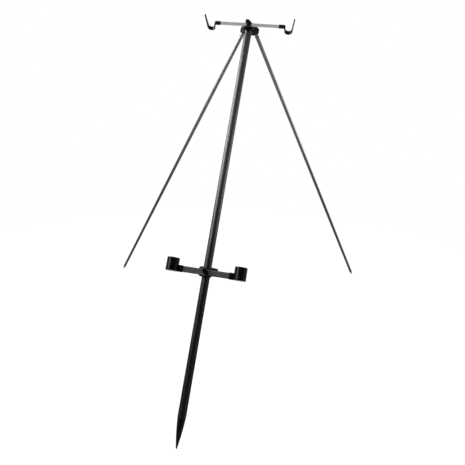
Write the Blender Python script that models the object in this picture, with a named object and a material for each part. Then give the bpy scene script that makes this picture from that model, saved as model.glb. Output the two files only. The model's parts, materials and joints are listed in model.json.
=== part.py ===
"""A surf rod tripod: a spiked post, two folding back legs and two cross bars for the rods.

Everything is modelled about the post: x to the right, y to the back, z up the post from the
point of the spike. The empty named stand then leans the whole object on its three points.
Lengths are in metres.
"""
import math

import bmesh
import bpy
from mathutils import Matrix, Vector

# Clearance between touching pieces
GAP = 0.0003

# Post and ground spike
POST_DIAMETER = 0.030
POST_WALL = 0.0015
POST_TOP = 1.655
SPIKE_CONE = 0.099
SPIKE_PLUG = 0.050
SPIKE_PLUG_TAPER = 0.002
SPIKE_PLUG_LEAD = 0.004
SPIKE_PIN_DIAMETER = 0.005
SPIKE_PIN_RISE = 0.022
SPIKE_PIN_CHAMFER = 0.0005
POINT_RADIUS = 0.0025

# Mouldings that grip the post: the head hub and the lower collar
GRIP_WALL = 0.0047
GRIP_HEIGHT = 0.025
GRIP_BELOW_BAR = 0.0094
SEAT_WIDTH = 0.035
SEAT_PROUD = 0.0025
SEAT_TOP_MARGIN = 0.003
SEAT_BOTTOM_MARGIN = 0.0005
TONGUE_DROP = 0.015
TONGUE_PROUD_AT_POINT = 0.002

# Head cap and hub screw
CAP_DIAMETER = 0.039
CAP_THICKNESS = 0.0032
CAP_PLUG = 0.012
HUB_SCREW_DIAMETER = 0.004
HUB_SCREW_HEAD = 0.0075
HUB_SCREW_HEAD_HEIGHT = 0.0022
HUB_SCREW_RISE = 0.009
PLUG_CHAMFER = 0.001
CAP_MARGIN = 0.0007

# Leg hinges: pins stand square to the plane that each leg swings in
LEG_AZIMUTH = math.radians(57.73)
PIN_RADIUS = 0.046
PIN_RISE = 0.0085
PIN_DIAMETER = 0.006
CHEEK_THICKNESS = 0.0046
EAR_OUTER = 0.0095
EAR_DROP = 0.0135
EAR_RISE = 0.0135
EAR_TOP_RADIUS = 0.008
EAR_BOTTOM_RADIUS = 0.006
EAR_ROOT_DROP = 0.004
EAR_CREST = 0.0195
EAR_MARGIN = 0.002
BOLT_HEAD_DIAMETER = 0.010
BOLT_HEAD_HEIGHT = 0.0035
BOLT_SOCKET = 0.0045
BOLT_SOCKET_DEPTH = 0.002
NUT_ACROSS_FLATS = 0.010
NUT_HEIGHT = 0.005
BOLT_PAST_NUT = 0.001

# Legs
LEG_LENGTH = 1.6864
LEG_DIAMETER = 0.016
LEG_WALL = 0.0012
LEG_OFFSET = 0.004
LEG_STOP = math.radians(61.5)
LEFT_SPREAD = math.radians(53.0)
RIGHT_SPREAD = LEG_STOP
TONGUE_WIDTH = 0.0162
HEEL_LENGTH = 0.006
PIN_WALL = 0.003
KNUCKLE_LENGTH = 0.0095
KNUCKLE_COLLAR = 0.003
KNUCKLE_PLUG = 0.030
LEG_TIP_CONE = 0.027
LEG_TIP_PLUG = 0.025
LEG_RIVET_DIAMETER = 0.004
LEG_RIVET_DEPTH = 0.014
RIVET_HEAD_HEIGHT = 0.0009
RIVET_HEAD_EXTRA = 0.0012

# Top bar and rod rests
TOP_BAR_BELOW_TOP = 0.0156
TOP_BAR_TILT = math.radians(2.25)
TOP_BAR_HEIGHT = 0.0145
TOP_BAR_THICKNESS = 0.003
TOP_BAR_HALF = 0.1415
TOP_BAR_SHIFT = 0.0045
TOP_TENON_HEIGHT = 0.0115
REST_SLEEVE_LENGTH = 0.0222
REST_SLEEVE_WALL = 0.0013
REST_SLEEVE_FLOOR = 0.002
REST_STRIP_HEIGHT = 0.015
REST_STRIP_THICKNESS = 0.004
REST_BEND = 0.0035
REST_LEG_OFFSET = 0.0002
REST_RADIUS = 0.0145
REST_DEPTH = 0.033
HORN_LENGTH = 0.063
HORN_STEPS = 5
HORN_LEAN = math.radians(5.0)
HORN_TIP_HEIGHT = 0.008
HORN_TIP_THICKNESS = 0.004
REST_RIVET_DIAMETER = 0.0032

# Lower collar and leg clips
LOWER_BAR_HEIGHT_ON_POST = 0.5978
CLIP_DROP = 0.0045
CLIP_RISE = 0.0244
CLIP_WALL = 0.0036
CLIP_REACH = 0.008
CLIP_ARM_WIDTH = 0.014
PAD_DIAMETER = 0.009
PAD_THICKNESS = 0.0025

# Lower bar and butt cups
CUP_BAR_TILT = math.radians(0.1)
CUP_BAR_HEIGHT = 0.0225
CUP_BAR_THICKNESS = 0.004
CUP_TENON_HEIGHT = 0.0195
CUP_BAR_BOSS_WIDTH = 0.0506
CUP_BAR_BOSS_DROP = 0.0055
CUP_SPACING = 0.250
CUP_DIAMETER = 0.0465
CUP_HEIGHT = 0.0488
CUP_RISE = -0.00115
CUP_WALL = 0.0022
CUP_FLOOR = 0.003
CUP_SLEEVE_LENGTH = 0.0165
CUP_TENON_BACK = 0.003
CUP_SLEEVE_WALL = 0.0025
DRAIN_DIAMETER = 0.005
DRAIN_CIRCLE = 0.022
DRAIN_COUNT = 3
CUP_RIVET_DIAMETER = 0.004

# Knobs, studs and washers
STUD_DIAMETER = 0.008
STUD_IN_KNOB = 0.010
STUD_FLOOR = 0.0015
STUD_CHAMFER = 0.0008
WASHER_DIAMETER = 0.018
WASHER_THICKNESS = 0.0012
KNOB_NECK_DIAMETER = 0.0145
KNOB_NECK_HEIGHT = 0.005
WING_LENGTH = 0.030
WING_WIDTH = 0.015
WING_DEPTH = 0.010
WING_ROUND = 0.002
TOP_KNOB_TURN = math.radians(50)
LOWER_KNOB_TURN = math.radians(52)

# Sides of round pieces
POST_SIDES = 40
LEG_SIDES = 24
SMALL_SIDES = 16
ARC_STEPS = 6
DOME_STEPS = 3

# An odd number, so that a flat lies at the very bottom of a rod rest
BOWL_STEPS = 13

# How far a cutter runs past a bar on both sides
HOLE_REACH = 0.03

# Edges that turn more than this are kept sharp
SHARP_ANGLE = math.radians(35)
POINT_SHARP_ANGLE = math.radians(30)

# Radii and places that follow
post_radius = POST_DIAMETER / 2
bore_radius = post_radius + GAP
grip_radius = bore_radius + GRIP_WALL
root_radius = post_radius - GRIP_WALL
leg_radius = LEG_DIAMETER / 2
hub_top = POST_TOP
hub_bottom = POST_TOP - GRIP_HEIGHT
top_bar_height_on_post = POST_TOP - TOP_BAR_BELOW_TOP
pin_height = POST_TOP + PIN_RISE
slot_width = TONGUE_WIDTH + 2 * GAP
ear_width = slot_width + 2 * CHEEK_THICKNESS
heel_radius = leg_radius + LEG_OFFSET
web_radius = PIN_RADIUS - heel_radius - GAP
seat_y = -(grip_radius + SEAT_PROUD)
clip_radius = PIN_RADIUS - LEG_OFFSET
clip_bottom = LOWER_BAR_HEIGHT_ON_POST - CLIP_DROP
clip_top = LOWER_BAR_HEIGHT_ON_POST + CLIP_RISE
pad_front = post_radius + GAP + PAD_THICKNESS
rest_end_x = TOP_BAR_HALF + GAP + REST_SLEEVE_FLOOR
cup_tenon_end = CUP_SPACING / 2 - CUP_DIAMETER / 2 - CUP_TENON_BACK
cup_sleeve_start = CUP_SPACING / 2 - CUP_DIAMETER / 2 - CUP_SLEEVE_LENGTH


def clear_scene():
    for old in list(bpy.data.objects):
        bpy.data.objects.remove(old, do_unlink=True)


def material(name, colour, roughness, metallic):
    made = bpy.data.materials.new(name)
    made.use_nodes = True
    shader = made.node_tree.nodes["Principled BSDF"]
    shader.inputs["Base Color"].default_value = (*colour, 1.0)
    shader.inputs["Roughness"].default_value = roughness
    shader.inputs["Metallic"].default_value = metallic
    return made


def empty(name, parent=None, matrix=None):
    made = bpy.data.objects.new(name, None)
    made.empty_display_size = 0.03
    bpy.context.collection.objects.link(made)
    made.parent = parent
    if matrix is not None:
        made.matrix_basis = matrix
    return made


def solid(name, shape, finish, parent, matrix=None, sharp=SHARP_ANGLE):
    """Make an object from a bmesh, shaded smooth apart from its sharp edges."""
    bmesh.ops.recalc_face_normals(shape, faces=shape.faces)
    mesh = bpy.data.meshes.new(name)
    shape.to_mesh(mesh)
    shape.free()
    mesh.shade_smooth()
    mesh.set_sharp_from_angle(angle=sharp)
    made = bpy.data.objects.new(name, mesh)
    bpy.context.collection.objects.link(made)
    made.parent = parent
    if matrix is not None:
        made.matrix_basis = matrix
    if finish is not None:
        mesh.materials.append(finish)
    return made


def helper(name, shape, parent, matrix=None):
    """Make a shape that only cuts or joins, and is left out of the model."""
    made = solid(name, shape, None, parent, matrix)
    made.hide_render = True
    made.display_type = "WIRE"
    return made


def settle():
    """Apply the cuts and joins of every piece, shade it again and take the helpers away."""
    bpy.context.view_layer.update()
    graph = bpy.context.evaluated_depsgraph_get()
    pieces = [made for made in bpy.data.objects if made.modifiers and not made.hide_render]
    results = [bpy.data.meshes.new_from_object(made.evaluated_get(graph)) for made in pieces]
    for made, mesh in zip(pieces, results):
        made.modifiers.clear()
        made.data = mesh
        mesh.shade_smooth()
        mesh.set_sharp_from_angle(angle=SHARP_ANGLE)
    for tool in [made for made in bpy.data.objects if made.hide_render]:
        bpy.data.objects.remove(tool, do_unlink=True)


def combine(target, tool, operation):
    step = target.modifiers.new(operation.lower(), "BOOLEAN")
    step.operation = operation
    step.solver = "EXACT"
    step.object = tool


def cut(target, tool):
    combine(target, tool, "DIFFERENCE")


def join(target, tool):
    combine(target, tool, "UNION")


def bevel(target, width, segments=2, angle=40):
    step = target.modifiers.new("bevel", "BEVEL")
    step.width = width
    step.segments = segments
    step.limit_method = "ANGLE"
    step.angle_limit = math.radians(angle)


def turned(profile, sides, ring=False):
    """Spin a profile of (radius, height) points about z. A ring's profile is a closed loop."""
    shape = bmesh.new()
    points = [shape.verts.new((radius, 0, height)) for radius, height in profile]
    pairs = list(zip(points, points[1:]))
    if ring:
        pairs.append((points[-1], points[0]))
    edges = [shape.edges.new(pair) for pair in pairs]
    bmesh.ops.spin(
        shape,
        geom=points + edges,
        cent=(0, 0, 0),
        axis=(0, 0, 1),
        angle=math.tau,
        steps=sides,
        use_merge=True,
    )
    bmesh.ops.remove_doubles(shape, verts=shape.verts, dist=1e-6)
    return shape


def rod(radius, low, high, sides=SMALL_SIDES):
    return turned([(0, high), (radius, high), (radius, low), (0, low)], sides)


def prism(outline, low, high, plane="xz"):
    """Extrude a closed outline, drawn in the xz or xy plane, along the third axis."""
    shape = bmesh.new()
    if plane == "xz":
        corners = [(a, low, b) for a, b in outline]
        step = (0, high - low, 0)
    else:
        corners = [(a, b, low) for a, b in outline]
        step = (0, 0, high - low)
    face = shape.faces.new([shape.verts.new(corner) for corner in corners])
    grown = bmesh.ops.extrude_face_region(shape, geom=[face])
    moved = [item for item in grown["geom"] if isinstance(item, bmesh.types.BMVert)]
    bmesh.ops.translate(shape, vec=step, verts=moved)
    return shape


def block(low, high):
    """A box from its low corner to its high corner."""
    size = [top - bottom for bottom, top in zip(low, high)]
    middle = [(top + bottom) / 2 for bottom, top in zip(low, high)]
    shape = bmesh.new()
    bmesh.ops.create_cube(shape, size=1.0, matrix=Matrix.Translation(middle) @ Matrix.Diagonal((*size, 1)))
    return shape


def arc(centre, radius, start, end, steps=ARC_STEPS):
    """Points of an arc, with its angles in degrees from the first axis."""
    points = []
    for step in range(steps + 1):
        angle = math.radians(start + (end - start) * step / steps)
        points.append((centre[0] + radius * math.cos(angle), centre[1] + radius * math.sin(angle)))
    return points


def point_profile(base_radius, cone_length):
    """Profile of a cone with a small ball for a point, from its base down to the axis."""
    lean = math.atan2(base_radius - POINT_RADIUS, cone_length - POINT_RADIUS)
    for _ in range(8):
        touch_radius = POINT_RADIUS * math.cos(lean)
        touch_height = POINT_RADIUS - POINT_RADIUS * math.sin(lean)
        lean = math.atan2(base_radius - touch_radius, cone_length - touch_height)
    ball = arc((0, POINT_RADIUS), POINT_RADIUS, -math.degrees(lean), -90)
    ball[-1] = (0, 0)
    return [(base_radius, cone_length)] + ball


def dome(radius, seat, height):
    """Profile of a low round head, from its crown on the axis down to its rim on the seat."""
    points = [(0, seat + height)]
    for step in range(1, DOME_STEPS + 1):
        angle = math.pi / 2 * step / DOME_STEPS
        points.append((radius * math.sin(angle), seat + height * math.cos(angle)))
    return points


def swing(spread):
    """Turn of a leg about its pin, outwards from the post."""
    return Matrix.Rotation(-spread, 4, "Y")


def leg_frame(side, spread):
    """Frame at a leg's pin: z along the leg to its top, y along the pin, x away from the post."""
    azimuth = LEG_AZIMUTH if side > 0 else math.pi - LEG_AZIMUTH
    return hinge_frame(azimuth) @ swing(spread)


def hinge_frame(azimuth):
    turn = Matrix.Rotation(azimuth, 4, "Z")
    place = Matrix.Translation((PIN_RADIUS, 0, pin_height))
    return turn @ place


def ground_frame():
    """Lean the model so that its three points rest on z = 0, with the origin midway under it."""
    balls = [Vector((0, 0, POINT_RADIUS))]
    for side, spread in ((-1, LEFT_SPREAD), (1, RIGHT_SPREAD)):
        balls.append(leg_frame(side, spread) @ Vector((-LEG_OFFSET, 0, POINT_RADIUS - LEG_LENGTH)))
    spike, left, right = balls
    up = (right - spike).cross(left - spike).normalized()
    across = (Vector((1, 0, 0)) - up * up.x).normalized()
    back = up.cross(across)
    turn = Matrix((across, back, up))
    spots = [turn @ ball for ball in balls]
    middle = (spots[1].x + spots[2].x) / 2
    depth = (spots[0].y + max(spots[1].y, spots[2].y)) / 2
    place = Matrix.Translation((-middle, -depth, POINT_RADIUS - spots[0].z))
    return place @ turn.to_4x4()


def tube(name, radius, wall, low, high, sides, finish, parent, matrix=None):
    inner = radius - wall
    profile = [(inner, high), (radius, high), (radius, low), (inner, low)]
    return solid(name, turned(profile, sides, ring=True), finish, parent, matrix)


def cross_hole(target, radius, reach, parent, matrix, centre=(0, 0, 0)):
    """Cut a round hole along y through a piece, to the given distance on both sides."""
    along = Matrix.Translation(centre) @ Matrix.Rotation(math.pi / 2, 4, "X")
    cutter = helper(target.name + "_hole", rod(radius, -reach, reach), parent, matrix @ along)
    cut(target, cutter)


def rivet(name, radius, grip, finish, parent, matrix):
    """A rivet along y with a low head against each face of what it holds."""
    head_radius = radius + RIVET_HEAD_EXTRA
    seat = grip / 2 + GAP
    head = dome(head_radius, seat, RIVET_HEAD_HEIGHT)
    profile = head + [(radius, seat), (radius, -seat)]
    profile += [(across, -height) for across, height in reversed(head)]
    along = Matrix.Rotation(math.pi / 2, 4, "X")
    return solid(name, turned(profile, SMALL_SIDES), finish, parent, matrix @ along)


# Post
def build_post(stand, paint, spike_paint, steel):
    pin_height_on_post = SPIKE_CONE + SPIKE_PIN_RISE
    across = Matrix.Translation((0, 0, pin_height_on_post)) @ Matrix.Rotation(math.pi / 2, 4, "Z")
    post = tube("post_tube", post_radius, POST_WALL, SPIKE_CONE + GAP, POST_TOP, POST_SIDES, paint, stand)
    hole_radius = SPIKE_PIN_DIAMETER / 2 + GAP
    cross_hole(post, hole_radius, POST_DIAMETER, stand, across)

    plug_radius = post_radius - POST_WALL - GAP
    plug_top = SPIKE_CONE + SPIKE_PLUG
    profile = [
        (0, plug_top),
        (plug_radius - SPIKE_PLUG_TAPER, plug_top),
        (plug_radius, plug_top - SPIKE_PLUG_LEAD),
        (plug_radius, SPIKE_CONE),
    ]
    profile += point_profile(post_radius, SPIKE_CONE)
    spike = solid("ground_spike", turned(profile, POST_SIDES), spike_paint, stand, sharp=POINT_SHARP_ANGLE)
    cross_hole(spike, hole_radius, POST_DIAMETER, stand, across)

    half = post_radius - GAP
    end = SPIKE_PIN_DIAMETER / 2
    tip = end - SPIKE_PIN_CHAMFER
    shoulder = half - SPIKE_PIN_CHAMFER
    profile = [(0, half), (tip, half), (end, shoulder), (end, -shoulder), (tip, -half), (0, -half)]
    along = across @ Matrix.Rotation(math.pi / 2, 4, "X")
    solid("spike_pin", turned(profile, SMALL_SIDES), steel, stand, along)
    return post


# Mouldings on the post
def grip(name, bar_height, plastic, parent):
    """A ring on the post, with a flat seat for a bar in front and a V tongue under the seat."""
    bottom = bar_height - GRIP_BELOW_BAR
    top = bottom + GRIP_HEIGHT
    made = solid(name, rod(grip_radius, bottom, top, POST_SIDES), plastic, parent)
    half = SEAT_WIDTH / 2
    seat_top = top - SEAT_TOP_MARGIN
    seat_bottom = bottom + SEAT_BOTTOM_MARGIN
    point = bottom - TONGUE_DROP
    front = [(x, seat_y, z) for x in (-half, half) for z in (seat_bottom, seat_top)]
    back = [(x, 0, z) for x, _, z in front]
    tongue = [(0, -(post_radius + TONGUE_PROUD_AT_POINT), point), (0, 0, point)]
    shape = bmesh.new()
    corners = [shape.verts.new(corner) for corner in front + back + tongue]
    bmesh.ops.convex_hull(shape, input=corners)
    join(made, helper(name + "_seat", shape, parent))
    return made, bottom, top


def bore(target, bottom, top, parent):
    """Cut the post's way through a moulding."""
    low = bottom - TONGUE_DROP - POST_DIAMETER
    high = top + POST_DIAMETER
    cut(target, helper(target.name + "_bore", rod(bore_radius, low, high, POST_SIDES), parent))


def stud_frame(height):
    """Frame of a knob's stud: z out to the front of the post, y up the post."""
    return Matrix.Translation((0, 0, height)) @ Matrix.Rotation(math.pi / 2, 4, "X")


# Head hub, its cap and its screw
def build_hub(stand, plastic, steel, post):
    hub, bottom, top = grip("head_hub", top_bar_height_on_post, plastic, stand)
    inner = root_radius - PIN_RADIUS
    root = bottom - EAR_ROOT_DROP - pin_height
    outline = [(inner, root)]
    outline += arc((EAR_OUTER - EAR_BOTTOM_RADIUS, EAR_BOTTOM_RADIUS - EAR_DROP), EAR_BOTTOM_RADIUS, -90, 0)
    outline += arc((EAR_OUTER - EAR_TOP_RADIUS, EAR_RISE - EAR_TOP_RADIUS), EAR_TOP_RADIUS, 0, 90)
    outline += [(EAR_OUTER - EAR_CREST, EAR_RISE - EAR_MARGIN), (inner, top - pin_height - GAP)]
    frames = {
        "left": hinge_frame(math.pi - LEG_AZIMUTH),
        "right": hinge_frame(LEG_AZIMUTH),
    }
    for side, frame in frames.items():
        ear = prism(outline, -ear_width / 2, ear_width / 2)
        join(hub, helper(side + "_ear", ear, stand, frame))
    bore(hub, bottom, top, stand)
    cap_room = rod(CAP_DIAMETER / 2 + CAP_MARGIN, top, top + POST_DIAMETER, POST_SIDES)
    cut(hub, helper("cap_room", cap_room, stand))
    for side, frame in frames.items():
        slot = block(
            (web_radius - PIN_RADIUS, -slot_width / 2, root),
            (2 * EAR_OUTER, slot_width / 2, 2 * EAR_RISE),
        )
        cut(hub, helper(side + "_slot", slot, stand, frame))
        along = frame @ Matrix.Rotation(math.pi / 2, 4, "X")
        pin_hole = rod(PIN_DIAMETER / 2 + GAP, -ear_width, ear_width)
        cut(hub, helper(side + "_pin_hole", pin_hole, stand, along))
    stud_hole = rod(STUD_DIAMETER / 2 + GAP, bore_radius + STUD_FLOOR, 2 * grip_radius)
    cut(hub, helper("top_stud_hole", stud_hole, stand, stud_frame(top_bar_height_on_post)))

    screw_height = bottom + HUB_SCREW_RISE
    screw_frame = Matrix.Translation((0, 0, screw_height)) @ Matrix.Rotation(-math.pi / 2, 4, "Y")
    for target in (hub, post):
        hole = rod(HUB_SCREW_DIAMETER / 2 + GAP, 0, 2 * grip_radius)
        cut(target, helper(target.name + "_screw_hole", hole, stand, screw_frame))
    seat = grip_radius + GAP
    head = HUB_SCREW_HEAD / 2
    shank = HUB_SCREW_DIAMETER / 2
    end = post_radius - POST_WALL - PLUG_CHAMFER
    profile = dome(head, seat, HUB_SCREW_HEAD_HEIGHT) + [(shank, seat), (shank, end), (0, end)]
    solid("hub_screw", turned(profile, SMALL_SIDES), steel, stand, screw_frame)


def build_cap(stand, plastic):
    low = hub_top + GAP
    high = low + CAP_THICKNESS
    rim = CAP_DIAMETER / 2
    plug = post_radius - POST_WALL - GAP
    profile = [(0, high), (rim - PLUG_CHAMFER, high), (rim, high - PLUG_CHAMFER), (rim, low), (plug, low),
               (plug, low - CAP_PLUG), (0, low - CAP_PLUG)]
    solid("hub_cap", turned(profile, POST_SIDES), plastic, stand, sharp=POINT_SHARP_ANGLE)


# Leg hinges
def build_hinge(side_name, azimuth, front, stand, steel):
    """A bolt along the pin axis with its head to the front, and the nut behind."""
    frame = hinge_frame(azimuth) @ Matrix.Rotation(-front * math.pi / 2, 4, "X")
    seat = ear_width / 2 + GAP
    shank = PIN_DIAMETER / 2
    head = BOLT_HEAD_DIAMETER / 2
    high = seat + BOLT_HEAD_HEIGHT
    low = -(seat + NUT_HEIGHT + BOLT_PAST_NUT)
    profile = dome(head, seat, BOLT_HEAD_HEIGHT) + [(shank, seat), (shank, low), (0, low)]
    bolt = solid(side_name + "_hinge_bolt", turned(profile, SMALL_SIDES), steel, stand, frame)
    socket = rod(BOLT_SOCKET / 2, high - BOLT_SOCKET_DEPTH, high + BOLT_HEAD_HEIGHT, 6)
    cut(bolt, helper(side_name + "_bolt_socket", socket, stand, frame))

    corner = NUT_ACROSS_FLATS / math.sqrt(3)
    nut_shape = rod(corner, -seat - NUT_HEIGHT, -seat, 6)
    nut = solid(side_name + "_hinge_nut", nut_shape, steel, stand, frame)
    thread = rod(shank + GAP, -2 * ear_width, 0)
    cut(nut, helper(side_name + "_nut_thread", thread, stand, frame))


# Legs
def build_leg(side_name, side, spread, stand, paint, plastic, steel):
    pin = empty(side_name + "_leg_axis", stand, leg_frame(side, spread))
    on_axis = Matrix.Translation((-LEG_OFFSET, 0, 0))
    inner = leg_radius - LEG_WALL
    plug = inner - GAP

    heel = Vector((-math.cos(LEG_STOP), math.sin(LEG_STOP)))
    along = Vector((math.sin(LEG_STOP), math.cos(LEG_STOP)))
    corner = heel_radius * heel + HEEL_LENGTH * along
    outer = PIN_DIAMETER / 2 + PIN_WALL
    outline = [(-heel_radius, -KNUCKLE_LENGTH + KNUCKLE_COLLAR)]
    outline += arc((0, 0), heel_radius, 180, 90 + 90 - math.degrees(LEG_STOP))
    outline += [tuple(corner), (outer, corner.y - (outer - corner.x) * math.tan(LEG_STOP))]
    outline += [(outer, -outer), (leg_radius - LEG_OFFSET, -KNUCKLE_LENGTH + KNUCKLE_COLLAR)]
    tongue = prism(outline, -TONGUE_WIDTH / 2, TONGUE_WIDTH / 2)
    knuckle = solid(side_name + "_leg_knuckle", tongue, plastic, pin)
    collar = rod(leg_radius - GAP, -KNUCKLE_LENGTH, -KNUCKLE_LENGTH + 2 * KNUCKLE_COLLAR, LEG_SIDES)
    join(knuckle, helper(side_name + "_knuckle_collar", collar, pin, on_axis))
    plug_low = -KNUCKLE_LENGTH - KNUCKLE_PLUG
    peg = rod(plug, plug_low, -KNUCKLE_LENGTH + KNUCKLE_COLLAR, LEG_SIDES)
    join(knuckle, helper(side_name + "_knuckle_plug", peg, pin, on_axis))
    cross_hole(knuckle, PIN_DIAMETER / 2 + GAP, TONGUE_WIDTH, pin, Matrix.Identity(4))

    tip_high = -LEG_LENGTH + LEG_TIP_CONE
    leg = tube(side_name + "_leg_tube", leg_radius, LEG_WALL, tip_high + GAP, -KNUCKLE_LENGTH - GAP,
               LEG_SIDES, paint, pin, on_axis)
    rivet_place = Matrix.Translation((-LEG_OFFSET, 0, -KNUCKLE_LENGTH - LEG_RIVET_DEPTH))
    for target in (knuckle, leg):
        hole = rod(LEG_RIVET_DIAMETER / 2 + GAP, -LEG_DIAMETER, LEG_DIAMETER)
        cutter = helper(target.name + "_rivet_hole", hole, pin,
                        rivet_place @ Matrix.Rotation(math.pi / 2, 4, "X"))
        cut(target, cutter)
    rivet(side_name + "_leg_rivet", LEG_RIVET_DIAMETER / 2, LEG_DIAMETER, steel, pin, rivet_place)

    profile = [(0, LEG_TIP_CONE + LEG_TIP_PLUG), (plug, LEG_TIP_CONE + LEG_TIP_PLUG), (plug, LEG_TIP_CONE)]
    profile += point_profile(leg_radius, LEG_TIP_CONE)
    at_end = Matrix.Translation((-LEG_OFFSET, 0, -LEG_LENGTH))
    solid(side_name + "_leg_tip", turned(profile, LEG_SIDES), plastic, pin, at_end, sharp=POINT_SHARP_ANGLE)


# Bars
def bar(name, half, height, thickness, tenon_height, tenon_length, finish, parent):
    """A flat bar along x with a tenon at each end and a hole for the stud."""
    shoulder = half - tenon_length
    tall = height / 2
    low = tenon_height / 2
    outline = [
        (-half, -low),
        (-shoulder, -low),
        (-shoulder, -tall),
        (shoulder, -tall),
        (shoulder, -low),
        (half, -low),
        (half, low),
        (shoulder, low),
        (shoulder, tall),
        (-shoulder, tall),
        (-shoulder, low),
        (-half, low),
    ]
    made = solid(name, prism(outline, -thickness / 2, thickness / 2), finish, parent)
    return made


def through_hole(target, radius, x, parent):
    """Cut a round hole along y through a bar's end or middle, at a place along the bar."""
    cross_hole(target, radius, HOLE_REACH, parent, Matrix.Identity(4), (x, 0, 0))


def rest_path():
    """Centre line of a rod rest's strip, from the sleeve's end to the horn's tip."""
    lean = HORN_LEAN
    half = REST_STRIP_THICKNESS / 2
    start = (rest_end_x - REST_SLEEVE_FLOOR / 2, 0)
    turn = REST_BEND
    bend = arc((rest_end_x + half - turn + REST_LEG_OFFSET, turn), turn, -90, 0)
    leg_x, leg_y = bend[-1]
    centre_y = REST_DEPTH - REST_RADIUS
    rise = centre_y + REST_RADIUS * math.sin(lean) - leg_y
    centre_x = leg_x + rise * math.tan(lean) + REST_RADIUS * math.cos(lean)
    low_side = math.degrees(lean)
    bowl = arc((centre_x, centre_y), REST_RADIUS, 180 - low_side, low_side, BOWL_STEPS)
    end_x, end_y = bowl[-1]
    horn = []
    for step in range(1, HORN_STEPS + 1):
        run = HORN_LENGTH * step / HORN_STEPS
        horn.append((end_x + run * math.sin(lean), end_y - run * math.cos(lean)))
    return [start] + bend + bowl, horn


def strip(path, sizes):
    """Sweep a rectangle along a path in the xy plane. Sizes are (thickness, height) pairs."""
    shape = bmesh.new()
    rings = []
    for index, (point, size) in enumerate(zip(path, sizes)):
        before = Vector(path[max(index - 1, 0)])
        after = Vector(path[min(index + 1, len(path) - 1)])
        along = (after - before).normalized()
        aside = Vector((-along.y, along.x)) * size[0] / 2
        middle = Vector(point)
        tall = size[1] / 2
        ring = []
        for sign, z in ((1, -tall), (1, tall), (-1, tall), (-1, -tall)):
            spot = middle + sign * aside
            ring.append(shape.verts.new((spot.x, spot.y, z)))
        rings.append(ring)
    for first, second in zip(rings, rings[1:]):
        for index in range(4):
            following = (index + 1) % 4
            shape.faces.new((first[index], first[following], second[following], second[index]))
    shape.faces.new(rings[0])
    shape.faces.new(rings[-1][::-1])
    return shape


def build_rest(side_name, side, parent, plastic, steel):
    """A rod rest: a sleeve on the bar's tenon, and a strip bent into a U that opens to the front."""
    tall = TOP_TENON_HEIGHT / 2 + GAP + REST_SLEEVE_WALL
    deep = TOP_BAR_THICKNESS / 2 + GAP + REST_SLEEVE_WALL
    start_x = rest_end_x - REST_SLEEVE_LENGTH
    mirror = Matrix.Diagonal((side, 1, 1))
    sleeve = block((start_x, -deep, -tall), (rest_end_x, deep, tall))
    bmesh.ops.transform(sleeve, matrix=mirror.to_4x4(), verts=sleeve.verts)
    rest = solid(side_name + "_rod_rest", sleeve, plastic, parent)

    body, horn = rest_path()
    sizes = [(REST_STRIP_THICKNESS, REST_STRIP_HEIGHT)] * len(body)
    for step in range(1, len(horn) + 1):
        share = step / len(horn)
        thickness = REST_STRIP_THICKNESS + (HORN_TIP_THICKNESS - REST_STRIP_THICKNESS) * share
        height = REST_STRIP_HEIGHT + (HORN_TIP_HEIGHT - REST_STRIP_HEIGHT) * share
        sizes.append((thickness, height))
    hook = strip(body + horn, sizes)
    bmesh.ops.transform(hook, matrix=mirror.to_4x4(), verts=hook.verts)
    join(rest, helper(side_name + "_rest_hook", hook, parent))

    cavity = block(
        (start_x - REST_SLEEVE_LENGTH, -deep + REST_SLEEVE_WALL, -tall + REST_SLEEVE_WALL),
        (rest_end_x - REST_SLEEVE_FLOOR, deep - REST_SLEEVE_WALL, tall - REST_SLEEVE_WALL),
    )
    bmesh.ops.transform(cavity, matrix=mirror.to_4x4(), verts=cavity.verts)
    cut(rest, helper(side_name + "_rest_cavity", cavity, parent))

    rivet_x = side * (rest_end_x - REST_SLEEVE_LENGTH / 2)
    through_hole(rest, REST_RIVET_DIAMETER / 2 + GAP, rivet_x, parent)
    place = Matrix.Translation((rivet_x, 0, 0))
    rivet(side_name + "_rest_rivet", REST_RIVET_DIAMETER / 2, 2 * deep, steel, parent, place)
    return rivet_x


def build_top_bar(stand, silver, plastic, steel):
    plane = seat_y - GAP - TOP_BAR_THICKNESS / 2
    place = Matrix.Translation((0, plane, top_bar_height_on_post))
    axis = empty("top_bar_axis", stand, place @ Matrix.Rotation(-TOP_BAR_TILT, 4, "Y"))
    middle = empty("top_bar_middle", axis, Matrix.Translation((TOP_BAR_SHIFT, 0, 0)))
    tenon = REST_SLEEVE_LENGTH - REST_SLEEVE_FLOOR
    made = bar("top_bar", TOP_BAR_HALF, TOP_BAR_HEIGHT, TOP_BAR_THICKNESS, TOP_TENON_HEIGHT, tenon,
               silver, middle)
    through_hole(made, STUD_DIAMETER / 2 + GAP, -TOP_BAR_SHIFT, middle)
    for side_name, side in (("left", -1), ("right", 1)):
        rivet_x = build_rest(side_name, side, middle, plastic, steel)
        through_hole(made, REST_RIVET_DIAMETER / 2 + GAP, rivet_x, middle)


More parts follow.
